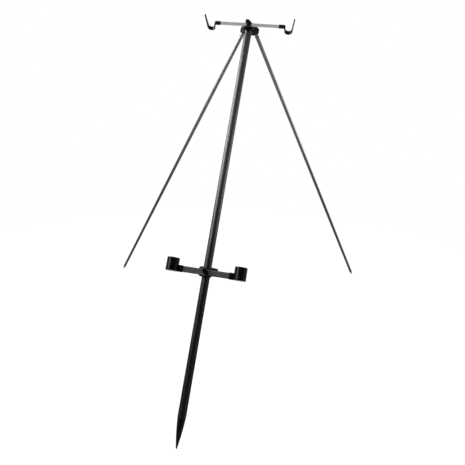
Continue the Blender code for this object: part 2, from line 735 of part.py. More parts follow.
# Lower collar
def build_collar(slide, plastic, post_pad):
    collar, bottom, top = grip("lower_collar", LOWER_BAR_HEIGHT_ON_POST, plastic, slide)
    slot = leg_radius + GAP
    half = slot + CLIP_WALL
    floor = clip_radius - slot
    reach = clip_radius + CLIP_REACH
    arm = CLIP_ARM_WIDTH / 2
    outline = [
        (root_radius, -arm),
        (floor - CLIP_WALL - arm / 2, -arm),
        (floor - CLIP_WALL, -half),
        (reach, -half),
        (reach, -slot),
        (floor, -slot),
        (floor, slot),
        (reach, slot),
        (reach, half),
        (floor - CLIP_WALL, half),
        (floor - CLIP_WALL - arm / 2, arm),
        (root_radius, arm),
    ]
    for side_name, azimuth in (("left", math.pi - LEG_AZIMUTH), ("right", LEG_AZIMUTH)):
        clip = prism(outline, clip_bottom, clip_top, plane="xy")
        turn = Matrix.Rotation(azimuth, 4, "Z")
        join(collar, helper(side_name + "_clip", clip, slide, turn))
    bore(collar, bottom, top, slide)
    frame = stud_frame(LOWER_BAR_HEIGHT_ON_POST)
    stud_hole = rod(STUD_DIAMETER / 2 + GAP, 0, 2 * grip_radius)
    cut(collar, helper("lower_stud_hole", stud_hole, slide, frame))
    pocket = rod(PAD_DIAMETER / 2 + GAP, 0, pad_front + GAP)
    cut(collar, helper("pad_pocket", pocket, slide, frame))
    pad = rod(PAD_DIAMETER / 2, post_radius + GAP, pad_front)
    solid("clamp_pad", pad, post_pad, slide, frame)


# Lower bar and butt cups
def build_cup(side_name, side, parent, plastic, steel):
    base = CUP_RISE - CUP_BAR_HEIGHT / 2
    outer = CUP_DIAMETER / 2
    inner = outer - CUP_WALL
    profile = [
        (0, base + CUP_FLOOR),
        (inner, base + CUP_FLOOR),
        (inner, base + CUP_HEIGHT),
        (outer, base + CUP_HEIGHT),
        (outer, base),
        (0, base),
    ]
    place = Matrix.Translation((side * CUP_SPACING / 2, 0, 0))
    cup = solid(side_name + "_rod_cup", turned(profile, POST_SIDES), plastic, parent, place)

    tall = CUP_TENON_HEIGHT / 2 + GAP + CUP_SLEEVE_WALL
    deep = CUP_BAR_THICKNESS / 2 + GAP + CUP_SLEEVE_WALL
    end_x = CUP_SPACING / 2 - outer + CUP_WALL / 2
    start_x = cup_sleeve_start
    mirror = Matrix.Diagonal((side, 1, 1)).to_4x4()
    sleeve = block((start_x, -deep, -tall), (end_x, deep, tall))
    bmesh.ops.transform(sleeve, matrix=mirror, verts=sleeve.verts)
    join(cup, helper(side_name + "_cup_sleeve", sleeve, parent))
    cavity = block(
        (start_x - CUP_SLEEVE_LENGTH, -deep + CUP_SLEEVE_WALL, -tall + CUP_SLEEVE_WALL),
        (cup_tenon_end + GAP, deep - CUP_SLEEVE_WALL, tall - CUP_SLEEVE_WALL),
    )
    bmesh.ops.transform(cavity, matrix=mirror, verts=cavity.verts)
    cut(cup, helper(side_name + "_cup_cavity", cavity, parent))
    for index in range(DRAIN_COUNT):
        turn = Matrix.Rotation(math.tau * (index + 0.5) / DRAIN_COUNT, 4, "Z")
        drain_place = place @ turn @ Matrix.Translation((DRAIN_CIRCLE / 2, 0, base))
        drain = rod(DRAIN_DIAMETER / 2, -CUP_FLOOR, 2 * CUP_FLOOR, SMALL_SIDES // 2)
        cut(cup, helper(f"{side_name}_drain_{index}", drain, parent, drain_place))

    rivet_x = side * (start_x + cup_tenon_end) / 2
    cross_hole(cup, CUP_RIVET_DIAMETER / 2 + GAP, HOLE_REACH, parent, Matrix.Identity(4), (rivet_x, 0, 0))
    rivet_place = Matrix.Translation((rivet_x, 0, 0))
    rivet(side_name + "_cup_rivet", CUP_RIVET_DIAMETER / 2, 2 * deep, steel, parent, rivet_place)
    return rivet_x


def build_cup_bar(slide, grey, plastic, steel):
    plane = seat_y - GAP - CUP_BAR_THICKNESS / 2
    place = Matrix.Translation((0, plane, LOWER_BAR_HEIGHT_ON_POST))
    axis = empty("cup_bar_axis", slide, place @ Matrix.Rotation(-CUP_BAR_TILT, 4, "Y"))
    tenon = cup_tenon_end - cup_sleeve_start + GAP
    made = bar("cup_bar", cup_tenon_end, CUP_BAR_HEIGHT, CUP_BAR_THICKNESS, CUP_TENON_HEIGHT, tenon,
               grey, axis)
    half = CUP_BAR_BOSS_WIDTH / 2
    low = -CUP_BAR_HEIGHT / 2
    outline = [
        (-half, low + CUP_BAR_BOSS_DROP),
        (-half, low),
        (-half + CUP_BAR_BOSS_DROP, low - CUP_BAR_BOSS_DROP),
        (half - CUP_BAR_BOSS_DROP, low - CUP_BAR_BOSS_DROP),
        (half, low),
        (half, low + CUP_BAR_BOSS_DROP),
    ]
    thin = CUP_BAR_THICKNESS / 2
    join(made, helper("cup_bar_boss", prism(outline, -thin, thin), axis))
    through_hole(made, STUD_DIAMETER / 2 + GAP, 0, axis)
    for side_name, side in (("left", -1), ("right", 1)):
        rivet_x = build_cup(side_name, side, axis, plastic, steel)
        through_hole(made, CUP_RIVET_DIAMETER / 2 + GAP, rivet_x, axis)


# Knobs
def build_knob(name, height, bar_thickness, stud_back, turn, parent, washer_parent, plastic, steel):
    """A T-shaped knob moulded on its stud, and the washer between the knob and the bar."""
    axis = empty(name + "_knob_axis", parent, stud_frame(height))
    front = -seat_y + GAP + bar_thickness
    ring_inner = STUD_DIAMETER / 2 + GAP
    low = front + GAP
    high = low + WASHER_THICKNESS
    outer = WASHER_DIAMETER / 2
    ring = turned([(ring_inner, high), (outer, high), (outer, low), (ring_inner, low)], SMALL_SIDES, True)
    solid(name + "_washer", ring, steel, washer_parent, stud_frame(height))

    base = high + GAP
    neck = rod(KNOB_NECK_DIAMETER / 2, base, base + KNOB_NECK_HEIGHT + WING_DEPTH / 2)
    knob = solid(name + "_knob", neck, plastic, axis)
    end = WING_LENGTH / 2 - WING_WIDTH / 2
    outline = arc((0, end), WING_WIDTH / 2, 0, 180) + arc((0, -end), WING_WIDTH / 2, 180, 360)
    wing_low = base + KNOB_NECK_HEIGHT
    wing = prism(outline, wing_low, wing_low + WING_DEPTH, plane="xy")
    grip_part = helper(name + "_wing", wing, axis, Matrix.Rotation(turn, 4, "Z"))
    bevel(grip_part, WING_ROUND, 2, 60)
    join(knob, grip_part)
    stud_end = base + STUD_IN_KNOB
    cut(knob, helper(name + "_knob_hole", rod(STUD_DIAMETER / 2 + GAP, 0, stud_end + GAP), axis))
    radius = STUD_DIAMETER / 2
    profile = [(0, stud_end), (radius, stud_end), (radius, stud_back + STUD_CHAMFER),
               (radius - STUD_CHAMFER, stud_back), (0, stud_back)]
    solid(name + "_stud", turned(profile, SMALL_SIDES), steel, axis)


def main():
    clear_scene()
    gunmetal = material("gunmetal_anodised", (0.10, 0.10, 0.108), 0.32, 0.85)
    leg_grey = material("leg_grey_anodised", (0.16, 0.16, 0.165), 0.35, 0.85)
    silver = material("silver_anodised", (0.60, 0.61, 0.61), 0.38, 0.85)
    bar_grey = material("bar_grey_paint", (0.07, 0.07, 0.072), 0.45, 0.3)
    plastic = material("black_plastic", (0.018, 0.018, 0.019), 0.42, 0.0)
    spike_black = material("spike_black_paint", (0.02, 0.02, 0.021), 0.35, 0.4)
    steel = material("dark_steel", (0.22, 0.22, 0.23), 0.35, 1.0)
    pad_plastic = material("pad_plastic", (0.45, 0.43, 0.38), 0.5, 0.0)

    stand = empty("stand", matrix=ground_frame())
    post = build_post(stand, gunmetal, spike_black, steel)
    build_hub(stand, plastic, steel, post)
    build_cap(stand, plastic)
    build_hinge("left", math.pi - LEG_AZIMUTH, 1, stand, steel)
    build_hinge("right", LEG_AZIMUTH, -1, stand, steel)
    build_leg("left", -1, LEFT_SPREAD, stand, leg_grey, plastic, steel)
    build_leg("right", 1, RIGHT_SPREAD, stand, leg_grey, plastic, steel)
    build_top_bar(stand, silver, plastic, steel)
    build_knob("top", top_bar_height_on_post, TOP_BAR_THICKNESS, bore_radius + STUD_FLOOR + GAP,
               TOP_KNOB_TURN, stand, stand, plastic, steel)

    slide = empty("collar_slide", stand)
    build_collar(slide, plastic, pad_plastic)
    build_cup_bar(slide, bar_grey, plastic, steel)
    build_knob("lower", LOWER_BAR_HEIGHT_ON_POST, CUP_BAR_THICKNESS, pad_front + GAP,
               LOWER_KNOB_TURN, slide, slide, plastic, steel)
    settle()


main()
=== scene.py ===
import json
import math

import bmesh
import bpy
from mathutils import Matrix, Vector


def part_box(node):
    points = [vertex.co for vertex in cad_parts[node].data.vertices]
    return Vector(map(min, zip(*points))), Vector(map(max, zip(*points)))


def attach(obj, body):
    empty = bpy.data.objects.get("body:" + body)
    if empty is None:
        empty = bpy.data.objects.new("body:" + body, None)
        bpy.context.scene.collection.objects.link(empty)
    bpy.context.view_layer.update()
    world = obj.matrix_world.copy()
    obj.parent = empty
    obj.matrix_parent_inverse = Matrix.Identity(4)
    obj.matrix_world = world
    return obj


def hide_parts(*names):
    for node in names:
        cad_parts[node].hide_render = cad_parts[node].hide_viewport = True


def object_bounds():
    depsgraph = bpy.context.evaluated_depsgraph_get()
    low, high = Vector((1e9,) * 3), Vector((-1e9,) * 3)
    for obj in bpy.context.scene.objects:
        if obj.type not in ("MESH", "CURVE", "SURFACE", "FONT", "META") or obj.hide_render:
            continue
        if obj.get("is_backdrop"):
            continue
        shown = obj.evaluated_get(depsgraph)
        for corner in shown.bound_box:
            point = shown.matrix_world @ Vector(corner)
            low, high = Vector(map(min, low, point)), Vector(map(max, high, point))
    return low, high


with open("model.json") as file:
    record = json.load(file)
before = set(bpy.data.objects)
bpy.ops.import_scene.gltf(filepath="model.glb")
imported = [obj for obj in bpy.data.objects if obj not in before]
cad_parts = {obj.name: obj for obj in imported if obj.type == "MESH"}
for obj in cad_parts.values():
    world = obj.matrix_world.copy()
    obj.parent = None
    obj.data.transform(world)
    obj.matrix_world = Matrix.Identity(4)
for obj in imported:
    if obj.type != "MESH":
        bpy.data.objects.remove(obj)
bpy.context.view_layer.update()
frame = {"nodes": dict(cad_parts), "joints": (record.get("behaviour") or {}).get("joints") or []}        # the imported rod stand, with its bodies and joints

nodes = frame["nodes"]
joints = {joint["name"]: joint for joint in frame["joints"]}
print("frame loaded, %d solids" % len(nodes))

gap = 0.0003        # clearance between touching pieces
tinyReach = 0.01        # how far cutters run past small, thin and thick pieces
smallReach = 0.02
largeReach = 0.03
smallRound = 40        # sides of round pieces and holes
middleRound = 64
largeRound = 96
sides = {"left": -1, "right": 1}


# where things are: every place is read from the joints and the solids

def jointSpot(name):
    return Vector(joints[name]["pos_m"])


def jointLine(name):
    return Vector(joints[name]["axis"]).normalized()


def middleOf(node):
    low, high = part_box(node)
    return (low + high) / 2


def moved(x=0.0, y=0.0, z=0.0):
    return Matrix.Translation((x, y, z))


def placeAt(spot, up, back):
    # z goes along up, and y as near to back as it can
    z = up.normalized()
    y = (back - z * back.dot(z)).normalized()
    made = Matrix((y.cross(z), y, z)).transposed().to_4x4()
    made.translation = spot
    return made


def barPlace(leftRivet, rightRivet, joint):
    # x along the bar, y through its thickness, z up its face
    x = (middleOf(rightRivet) - middleOf(leftRivet)).normalized()
    middle = (middleOf(rightRivet) + middleOf(leftRivet)) / 2
    return placeAt(middle, x.cross(-jointLine(joint)), -jointLine(joint))


postUp = jointLine("collar_slide")
standPlace = placeAt(jointSpot("top_knob_turn"), postUp, -jointLine("top_knob_turn"))
corners = nodes["ground_spike"].data.vertices
standPlace.translation += postUp * min((corner.co - standPlace.translation).dot(postUp) for corner in corners)
hingePlaces = {side: placeAt(jointSpot(side + "_leg_fold"), postUp, -jointLine(side + "_leg_fold"))
               for side in sides}
legPlaces = {side: placeAt(jointSpot(side + "_leg_fold"),
                           middleOf(side + "_leg_rivet") - middleOf(side + "_leg_tube"),
                           -jointLine(side + "_leg_fold"))
             for side in sides}
topBarPlace = barPlace("left_rest_rivet", "right_rest_rivet", "top_bar_swivel")
cupBarPlace = barPlace("left_cup_rivet", "right_cup_rivet", "cup_bar_swivel")
knobPlaces = {end: placeAt(jointSpot(end + "_knob_turn"), jointLine(end + "_knob_turn"), postUp)
              for end in ("top", "lower")}
alongX = Matrix.Rotation(math.pi / 2, 4, "Y")        # turns a piece made along z
alongY = Matrix.Rotation(math.pi / 2, 4, "X")


# mesh tools

def rounded(points, closed=True, steps=4):
    # points are (a, b), or (a, b, radius) for a corner that is rounded
    made = []
    for index, point in enumerate(points):
        corner = Vector(point[:2])
        radius = point[2] if len(point) > 2 else 0
        if radius <= 0 or (not closed and index in (0, len(points) - 1)):
            made.append(tuple(corner))
            continue
        before = (Vector(points[index - 1][:2]) - corner).normalized()
        after = (Vector(points[(index + 1) % len(points)][:2]) - corner).normalized()
        half = before.angle(after) / 2
        centre = corner + (before + after).normalized() * radius / math.sin(half)
        start = corner + before * radius / math.tan(half) - centre
        end = corner + after * radius / math.tan(half) - centre
        turn = start.angle_signed(end) * -1
        for step in range(steps + 1):
            angle = turn * step / steps
            spot = Vector((start.x * math.cos(angle) - start.y * math.sin(angle),
                           start.x * math.sin(angle) + start.y * math.cos(angle)))
            made.append(tuple(centre + spot))
    return made


def arc(centre, radius, start, end, steps=8):
    made = []
    for step in range(steps + 1):
        angle = math.radians(start + (end - start) * step / steps)
        made.append((centre[0] + radius * math.cos(angle), centre[1] + radius * math.sin(angle)))
    return made


def lathe(profile, around=middleRound, closed=False):
    # spins (radius, height) points about z; a closed profile makes a ring
    mesh = bmesh.new()
    rings = []
    for radius, height in profile:
        if radius < 1e-7:
            rings.append([mesh.verts.new((0, 0, height))])
            continue
        turns = [math.tau * index / around for index in range(around)]
        rings.append([mesh.verts.new((radius * math.cos(t), radius * math.sin(t), height)) for t in turns])
    pairs = list(zip(rings, rings[1:]))
    if closed:
        pairs.append((rings[-1], rings[0]))
    for first, second in pairs:
        for index in range(around):
            following = (index + 1) % around
            if len(first) == 1 and len(second) == 1:
                break
            if len(first) == 1:
                mesh.faces.new((first[0], second[index], second[following]))
            elif len(second) == 1:
                mesh.faces.new((first[index], first[following], second[0]))
            else:
                mesh.faces.new((first[index], first[following], second[following], second[index]))
    return mesh


def rod(radius, low, high, around=32, soft=0.0):
    profile = [(0, high), (radius, high, soft), (radius, low, soft), (0, low)]
    return lathe(rounded(profile, closed=False, steps=3), around)


def flare(radius, low, high, reach=tinyReach, soft=0.0004):
    # a cutter for a round hole whose two mouths are eased by soft
    profile = [(0, high + reach), (radius + soft + reach, high + reach), (radius + soft, high),
               (radius, high - soft), (radius, low + soft), (radius + soft, low),
               (radius + soft + reach, low - reach), (0, low - reach)]
    return lathe(profile, smallRound)


def slab(outline, low, high, soft=0.0, across="y", steps=3):
    # an outline in the xz plane given a thickness along y, or in the xy plane along z
    mesh = bmesh.new()
    rings = []
    for level in (low, high):
        spots = [(a, level, b) if across == "y" else (a, b, level) for a, b in outline]
        rings.append([mesh.verts.new(spot) for spot in spots])
    caps = [mesh.faces.new(rings[0]), mesh.faces.new(rings[1][::-1])]
    count = len(outline)
    for index in range(count):
        following = (index + 1) % count
        mesh.faces.new((rings[0][index], rings[1][index], rings[1][following], rings[0][following]))
    if soft:
        ease(mesh, [edge for cap in caps for edge in cap.edges], soft, steps)
    return mesh


def ease(mesh, edges, soft, steps):
    bmesh.ops.bevel(mesh, geom=edges, offset=soft, segments=steps, profile=0.5, affect="EDGES",
                    clamp_overlap=True)


def box(low, high, soft=0.0, steps=3):
    # a block with all its edges rounded
    outline = [(low[0], low[2], soft), (high[0], low[2], soft), (high[0], high[2], soft),
               (low[0], high[2], soft)]
    return slab(rounded(outline, steps=steps), low[1], high[1], soft, steps=steps)


def wrap(points, soft, steps=3):
    # the tightest solid around some points, with its edges rounded
    mesh = bmesh.new()
    bmesh.ops.convex_hull(mesh, input=[mesh.verts.new(point) for point in points])
    bmesh.ops.dissolve_limit(mesh, angle_limit=0.02, verts=mesh.verts, edges=mesh.edges)
    ease(mesh, [edge for edge in mesh.edges if edge.calc_face_angle(0) > 0.1], soft, steps)
    return mesh


def shape(name, mesh, matrix=None):
    if matrix is not None:
        bmesh.ops.transform(mesh, matrix=matrix, verts=mesh.verts)
    bmesh.ops.recalc_face_normals(mesh, faces=mesh.faces)
    data = bpy.data.meshes.new(name)
    mesh.to_mesh(data)
    mesh.free()
    made = bpy.data.objects.new(name, data)
    bpy.context.scene.collection.objects.link(made)
    return made


def bake(piece):
    # keep what the modifiers make, and drop them
    bpy.context.view_layer.update()
    made = bpy.data.meshes.new_from_object(piece.evaluated_get(bpy.context.evaluated_depsgraph_get()))
    piece.modifiers.clear()
    old = piece.data
    piece.data = made
    bpy.data.meshes.remove(old)


def combine(piece, meshes, operation):
    for tool in [shape("tool", mesh, matrix) for mesh, matrix in meshes]:
        step = piece.modifiers.new(operation, "BOOLEAN")
        step.operation = operation
        step.solver = "EXACT"
        step.object = tool
        bake(piece)
        bpy.data.objects.remove(tool, do_unlink=True)
        mesh = bmesh.new()        # merge the slivers that a cut can leave
        mesh.from_mesh(piece.data)
        bmesh.ops.remove_doubles(mesh, verts=mesh.verts, dist=4e-6)
        bmesh.ops.dissolve_degenerate(mesh, edges=mesh.edges, dist=2e-6)
        mesh.to_mesh(piece.data)
        mesh.free()


def joinTo(piece, *meshes):
    combine(piece, meshes, "UNION")


def cutFrom(piece, *meshes):
    combine(piece, meshes, "DIFFERENCE")


def soften(piece, width, angle=40, steps=2):
    # ease the creases that joining and cutting leave
    step = piece.modifiers.new("soften", "BEVEL")
    step.width = width
    step.segments = steps
    step.limit_method = "ANGLE"
    step.angle_limit = math.radians(angle)
    step.use_clamp_overlap = True
    step.loop_slide = False
    bake(piece)


def fit(piece, place, body, node, finish, smooth=35):
    # set a finished piece in its place, in place of its solid
    piece.data.shade_smooth()
    piece.data.set_sharp_from_angle(angle=math.radians(smooth))
    step = piece.modifiers.new("evenNormals", "WEIGHTED_NORMAL")
    step.keep_sharp = True
    step.weight = 60
    bake(piece)
    piece.matrix_world = place
    piece.data.materials.clear()
    piece.data.materials.append(finish)
    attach(piece, body)
    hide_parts(node)
    return piece


# finishes: the tools, and effects that several materials share

def node(tree, kind, **settings):
    made = tree.nodes.new(kind)
    made.location = (180 * len(tree.nodes), 0)        # in a row, in the order they are made
    for name, value in settings.items():
        setattr(made, name, value)
    return made


def feed(tree, socket, value):
    # a link where value is a socket, and a number or colour otherwise
    if isinstance(value, bpy.types.NodeSocket):
        tree.links.new(value, socket)
    else:
        socket.default_value = (*value, 1) if socket.type == "RGBA" else value


def startGroup(name, inputs, outputs):
    # three numbers make a vector socket, one number a plain one
    group = bpy.data.node_groups.new(name, "ShaderNodeTree")
    for label, value in inputs.items():
        kind = "NodeSocketVector" if isinstance(value, tuple) else "NodeSocketFloat"
        group.interface.new_socket(label, in_out="INPUT", socket_type=kind).default_value = value
    for label in outputs:
        kind = "NodeSocketVector" if label == "Normal" else "NodeSocketFloat"
        group.interface.new_socket(label, in_out="OUTPUT", socket_type=kind)
    source = node(group, "NodeGroupInput").outputs
    target = node(group, "NodeGroupOutput").inputs
    return group, source, target, node(group, "ShaderNodeTexCoord").outputs["Object"]


def remap(tree, source, low, high, outLow=0.0, outHigh=1.0, kind="SMOOTHSTEP"):
    made = node(tree, "ShaderNodeMapRange", interpolation_type=kind)
    values = {"Value": source, "From Min": low, "From Max": high, "To Min": outLow, "To Max": outHigh}
    for name, value in values.items():
        feed(tree, made.inputs[name], value)
    return made.outputs["Result"]


def sums(tree, operation, first, second):
    made = node(tree, "ShaderNodeMath", operation=operation)
    feed(tree, made.inputs[0], first)
    feed(tree, made.inputs[1], second)
    return made.outputs[0]


def noise(tree, spot, values):
    made = node(tree, "ShaderNodeTexNoise")
    feed(tree, made.inputs["Vector"], spot)
    for name, value in values.items():
        feed(tree, made.inputs[name], value)
    return made.outputs["Fac"]


def patternGroup(name, values):
    # a fine pattern with relief and a coarse one for colour; Stretch pulls the fine one into lines
    inputs = {"Fineness": values["fineness"], "Depth": values["depth"]}
    if "stretch" in values:
        inputs = {"Stretch": values["stretch"], **inputs}
    fine, fineNoise, *fineFade = values["fine"]
    coarse, coarseNoise, *coarseFade = values["coarse"]
    group, source, target, spot = startGroup(name, inputs, [fine, coarse, "Normal"])
    pulled = spot
    if "stretch" in values:
        pull = node(group, "ShaderNodeVectorMath", operation="MULTIPLY")
        feed(group, pull.inputs[0], spot)
        feed(group, pull.inputs[1], source["Stretch"])
        pulled = pull.outputs[0]
    fineMask = remap(group, noise(group, pulled, {"Scale": source["Fineness"], **fineNoise}), *fineFade)
    coarseMask = remap(group, noise(group, spot, coarseNoise), *coarseFade)
    relief = node(group, "ShaderNodeBump")
    relief.inputs["Distance"].default_value = 0.0003
    feed(group, relief.inputs["Strength"], source["Depth"])
    feed(group, relief.inputs["Height"], fineMask)
    feed(group, target[fine], fineMask)
    feed(group, target[coarse], coarseMask)
    feed(group, target["Normal"], relief.outputs[0])
    return group


# fine lines from drawing or brushing; Stretch is small along the lines
drawnLines = patternGroup("drawnLines", {
    "stretch": (1, 1, 0.01), "fineness": 900.0, "depth": 0.1,
    "fine": ("Lines", {"Detail": 3.0, "Roughness": 0.62}, 0.32, 0.68),
    "coarse": ("Clouds", {"Scale": 16.0, "Detail": 4.0}, 0.35, 0.65)})

# the fine pebble of a spark-eroded mould, or of a powder coat
mouldedGrain = patternGroup("mouldedGrain", {
    "fineness": 1500.0, "depth": 0.15,
    "fine": ("Grain", {"Detail": 2.0, "Roughness": 0.5}, 0.34, 0.66),
    "coarse": ("Flow", {"Scale": 38.0, "Detail": 3.0, "Distortion": 0.6}, 0.33, 0.67)})

# edges that hands and sand have rubbed
rubbedEdges, source, target, spot = startGroup(
    "rubbedEdges", {"From": 0.53, "To": 0.60, "Patches": 60.0}, ["Mask"])
edges = node(rubbedEdges, "ShaderNodeNewGeometry").outputs["Pointiness"]
edgeMask = remap(rubbedEdges, edges, source["From"], source["To"])
patches = noise(rubbedEdges, spot, {"Scale": source["Patches"], "Detail": 5.0})
patchMask = remap(rubbedEdges, patches, 0.42, 0.62)
feed(rubbedEdges, target["Mask"], sums(rubbedEdges, "MULTIPLY", edgeMask, patchMask))

# thin marks from handling, in no one direction
handlingMarks, source, target, spot = startGroup("handlingMarks", {"Size": 26.0, "Width": 0.004}, ["Mask"])
tilt = node(handlingMarks, "ShaderNodeMapping")
tilt.inputs["Rotation"].default_value = (0.5, 0.3, 0.9)
tilt.inputs["Scale"].default_value = (1.0, 0.25, 1.0)
feed(handlingMarks, tilt.inputs["Vector"], spot)
marks = noise(handlingMarks, tilt.outputs[0], {"Scale": source["Size"], "Detail": 1.0})
near = sums(handlingMarks, "ABSOLUTE", sums(handlingMarks, "SUBTRACT", marks, 0.5), 0.0)
feed(handlingMarks, target["Mask"], remap(handlingMarks, near, source["Width"], 0.0))

# how far along its own length a piece is, from 0 to 1
alongLength, source, target, spot = startGroup("alongLength", {"Start": 0.0, "End": 1.0}, ["Share"])
parts = node(alongLength, "ShaderNodeSeparateXYZ")
feed(alongLength, parts.inputs[0], spot)
feed(alongLength, target["Share"], remap(alongLength, parts.outputs["Z"], source["Start"], source["End"]))


def startFinish(name):
    made = bpy.data.materials.new(name)
    made.use_nodes = True
    tree = made.node_tree
    tree.nodes.clear()
    shader = node(tree, "ShaderNodeBsdfPrincipled")
    feed(tree, node(tree, "ShaderNodeOutputMaterial").inputs["Surface"], shader.outputs[0])
    return made, tree, shader


def use(tree, group, **values):
    made = node(tree, "ShaderNodeGroup", node_tree=group)
    for name, value in values.items():
        made.inputs[name].default_value = value
    return made.outputs


def blend(tree, share, first, second):
    # first where share is 0, second where it is 1; both are colours or links
    made = node(tree, "ShaderNodeMix", data_type="RGBA")
    feed(tree, made.inputs[0], share)
    colours = [socket for socket in made.inputs if socket.type == "RGBA"]
    for socket, value in zip(colours, (first, second)):
        feed(tree, socket, value)
    return [socket for socket in made.outputs if socket.type == "RGBA"][0]


def wear(tree, values):
    # how much the edges are rubbed, and where the handling marks are
    rubbed = use(tree, rubbedEdges, From=values["rubFrom"], To=values["rubTo"], Patches=values["patches"])
    marked = use(tree, handlingMarks, Size=values["markSize"], Width=values["markWidth"])
    return sums(tree, "MULTIPLY", rubbed["Mask"], values["rub"]), marked["Mask"]


def metalFinish(name, values):
    # anodised, brushed or plain metal
    values = {"lineTint": 0.35, "rubFrom": 0.54, "rubTo": 0.62, "rub": 0.5, "patches": 80.0, "markSize": 14.0,
              "markWidth": 0.0015, "markRough": 0.12, "edgeTint": (1, 1, 1), **values}
    made, tree, shader = startFinish(name)
    drawn = use(tree, drawnLines, Stretch=values["stretch"], Fineness=values["fineness"],
                Depth=values["depth"])
    rubbed, marked = wear(tree, values)
    base = blend(tree, drawn["Clouds"], values["dark"], values["light"])
    if "foot" in values:        # painted shade: the base colour darkens towards one end, standing in for light that falls off there
        share = use(tree, alongLength, Start=values["footStart"], End=values["footEnd"])["Share"]
        base = blend(tree, share, values["foot"], base)
    lined = blend(tree, sums(tree, "MULTIPLY", drawn["Lines"], values["lineTint"]), base, values["line"])
    rough = remap(tree, drawn["Lines"], 0.0, 1.0, values["smooth"], values["rough"], "LINEAR")
    marked = sums(tree, "MULTIPLY", marked, values["markRough"])
    feed(tree, shader.inputs["Base Color"], blend(tree, rubbed, lined, values["bare"]))
    feed(tree, shader.inputs["Roughness"], sums(tree, "ADD", rough, marked))
    feed(tree, shader.inputs["Normal"], drawn["Normal"])
    shader.inputs["Metallic"].default_value = 1.0
    shader.inputs["Specular Tint"].default_value = (*values["edgeTint"], 1)
    return made


def mouldedFinish(name, values):
    # moulded plastic or a coat of paint
    values = {"metal": 0.0, "rubFrom": 0.545, "rubTo": 0.61, "rub": 0.3, "patches": 70.0, "scuff": 0.3,
              "markSize": 34.0, "markWidth": 0.003, **values}
    made, tree, shader = startFinish(name)
    grain = use(tree, mouldedGrain, Fineness=values["fineness"], Depth=values["depth"])
    rubbed, marked = wear(tree, values)
    base = blend(tree, grain["Flow"], values["dark"], values["light"])
    scuffed = blend(tree, sums(tree, "MULTIPLY", marked, values["scuff"]), base, values["scuffed"])
    rough = remap(tree, grain["Grain"], 0.0, 1.0, values["smooth"], values["rough"], "LINEAR")
    feed(tree, shader.inputs["Base Color"], blend(tree, rubbed, scuffed, values["worn"]))
    feed(tree, shader.inputs["Roughness"], rough)
    feed(tree, shader.inputs["Normal"], grain["Normal"])
    shader.inputs["Metallic"].default_value = values["metal"]
    shader.inputs["Specular IOR Level"].default_value = values["specular"]
    return made


gunmetalAnodisedFootShade = metalFinish("gunmetalAnodisedFootShade", {        # the post, with painted shade darkening it towards the foot
    "dark": (0.056, 0.058, 0.061), "light": (0.064, 0.066, 0.070), "line": (0.085, 0.087, 0.091),
    "foot": (0.0020, 0.0021, 0.0023), "footStart": 0.42, "footEnd": 1.15, "stretch": (1, 1, 0.012),
    "fineness": 1100.0, "depth": 0.018, "smooth": 0.45, "rough": 0.51, "bare": (0.30, 0.30, 0.31),
    "edgeTint": (0.4, 0.4, 0.4)})
legAnodisedFootShade = metalFinish("legAnodisedFootShade", {        # both leg tubes, with painted shade darkening them towards the foot
    "dark": (0.092, 0.094, 0.097), "light": (0.108, 0.110, 0.113), "line": (0.15, 0.152, 0.156),
    "foot": (0.018, 0.0184, 0.0192), "footStart": -1.25, "footEnd": -0.05, "stretch": (1, 1, 0.012),
    "fineness": 1300.0, "depth": 0.018, "smooth": 0.33, "rough": 0.42, "bare": (0.34, 0.34, 0.35)})
silverAnodised = metalFinish("silverAnodised", {        # the top bar
    "dark": (0.41, 0.42, 0.415), "light": (0.46, 0.47, 0.465), "line": (0.55, 0.56, 0.555),
    "stretch": (0.012, 1, 1), "fineness": 1500.0, "depth": 0.028, "smooth": 0.34, "rough": 0.44,
    "rub": 0.2, "bare": (0.70, 0.70, 0.70), "markSize": 22.0, "markWidth": 0.002})
darkSteel = metalFinish("darkSteel", {        # bolts, nuts, rivets, studs and washers
    "dark": (0.026, 0.026, 0.027), "light": (0.034, 0.034, 0.035), "line": (0.05, 0.05, 0.05),
    "lineTint": 0.3, "stretch": (1, 1, 1), "fineness": 900.0, "depth": 0.05, "smooth": 0.34, "rough": 0.46,
    "rubFrom": 0.55, "rub": 0.4, "bare": (0.16, 0.16, 0.16), "markSize": 60.0, "markWidth": 0.004,
    "edgeTint": (0.3, 0.3, 0.3)})
blackNylon = mouldedFinish("blackNylon", {        # collar, rests, cups, leg tips and knobs
    "dark": (0.0010, 0.0010, 0.0011), "light": (0.0016, 0.0016, 0.0018), "fineness": 1500.0, "depth": 0.10,
    "smooth": 0.20, "rough": 0.28, "specular": 0.06, "scuff": 0.25, "scuffed": (0.010, 0.010, 0.0105),
    "worn": (0.014, 0.014, 0.0145)})
mattNylon = mouldedFinish("mattNylon", {        # hub, its cap and the leg knuckles, with a coarser grain
    "dark": (0.0008, 0.0008, 0.0009), "light": (0.0013, 0.0013, 0.0015), "fineness": 900.0, "depth": 0.16,
    "smooth": 0.52, "rough": 0.64, "specular": 0.04, "scuff": 0.25, "scuffed": (0.008, 0.008, 0.0085),
    "worn": (0.012, 0.012, 0.0125)})
darkGreyPaint = mouldedFinish("darkGreyPaint", {        # the lower bar
    "dark": (0.042, 0.043, 0.0445), "light": (0.051, 0.052, 0.054), "fineness": 1100.0, "depth": 0.08,
    "smooth": 0.36, "rough": 0.46, "specular": 0.45, "metal": 0.35, "markSize": 30.0, "markWidth": 0.002,
    "scuffed": (0.10, 0.10, 0.10), "rubTo": 0.62, "rub": 0.12, "worn": (0.12, 0.12, 0.12)})
spikePaint = mouldedFinish("spikePaint", {        # the ground spike
    "dark": (0.0009, 0.0009, 0.0010), "light": (0.0014, 0.0014, 0.0016), "fineness": 900.0, "depth": 0.06,
    "smooth": 0.26, "rough": 0.36, "specular": 0.07, "markSize": 40.0, "scuffed": (0.012, 0.012, 0.012),
    "rubFrom": 0.57, "rubTo": 0.66, "worn": (0.02, 0.02, 0.02)})
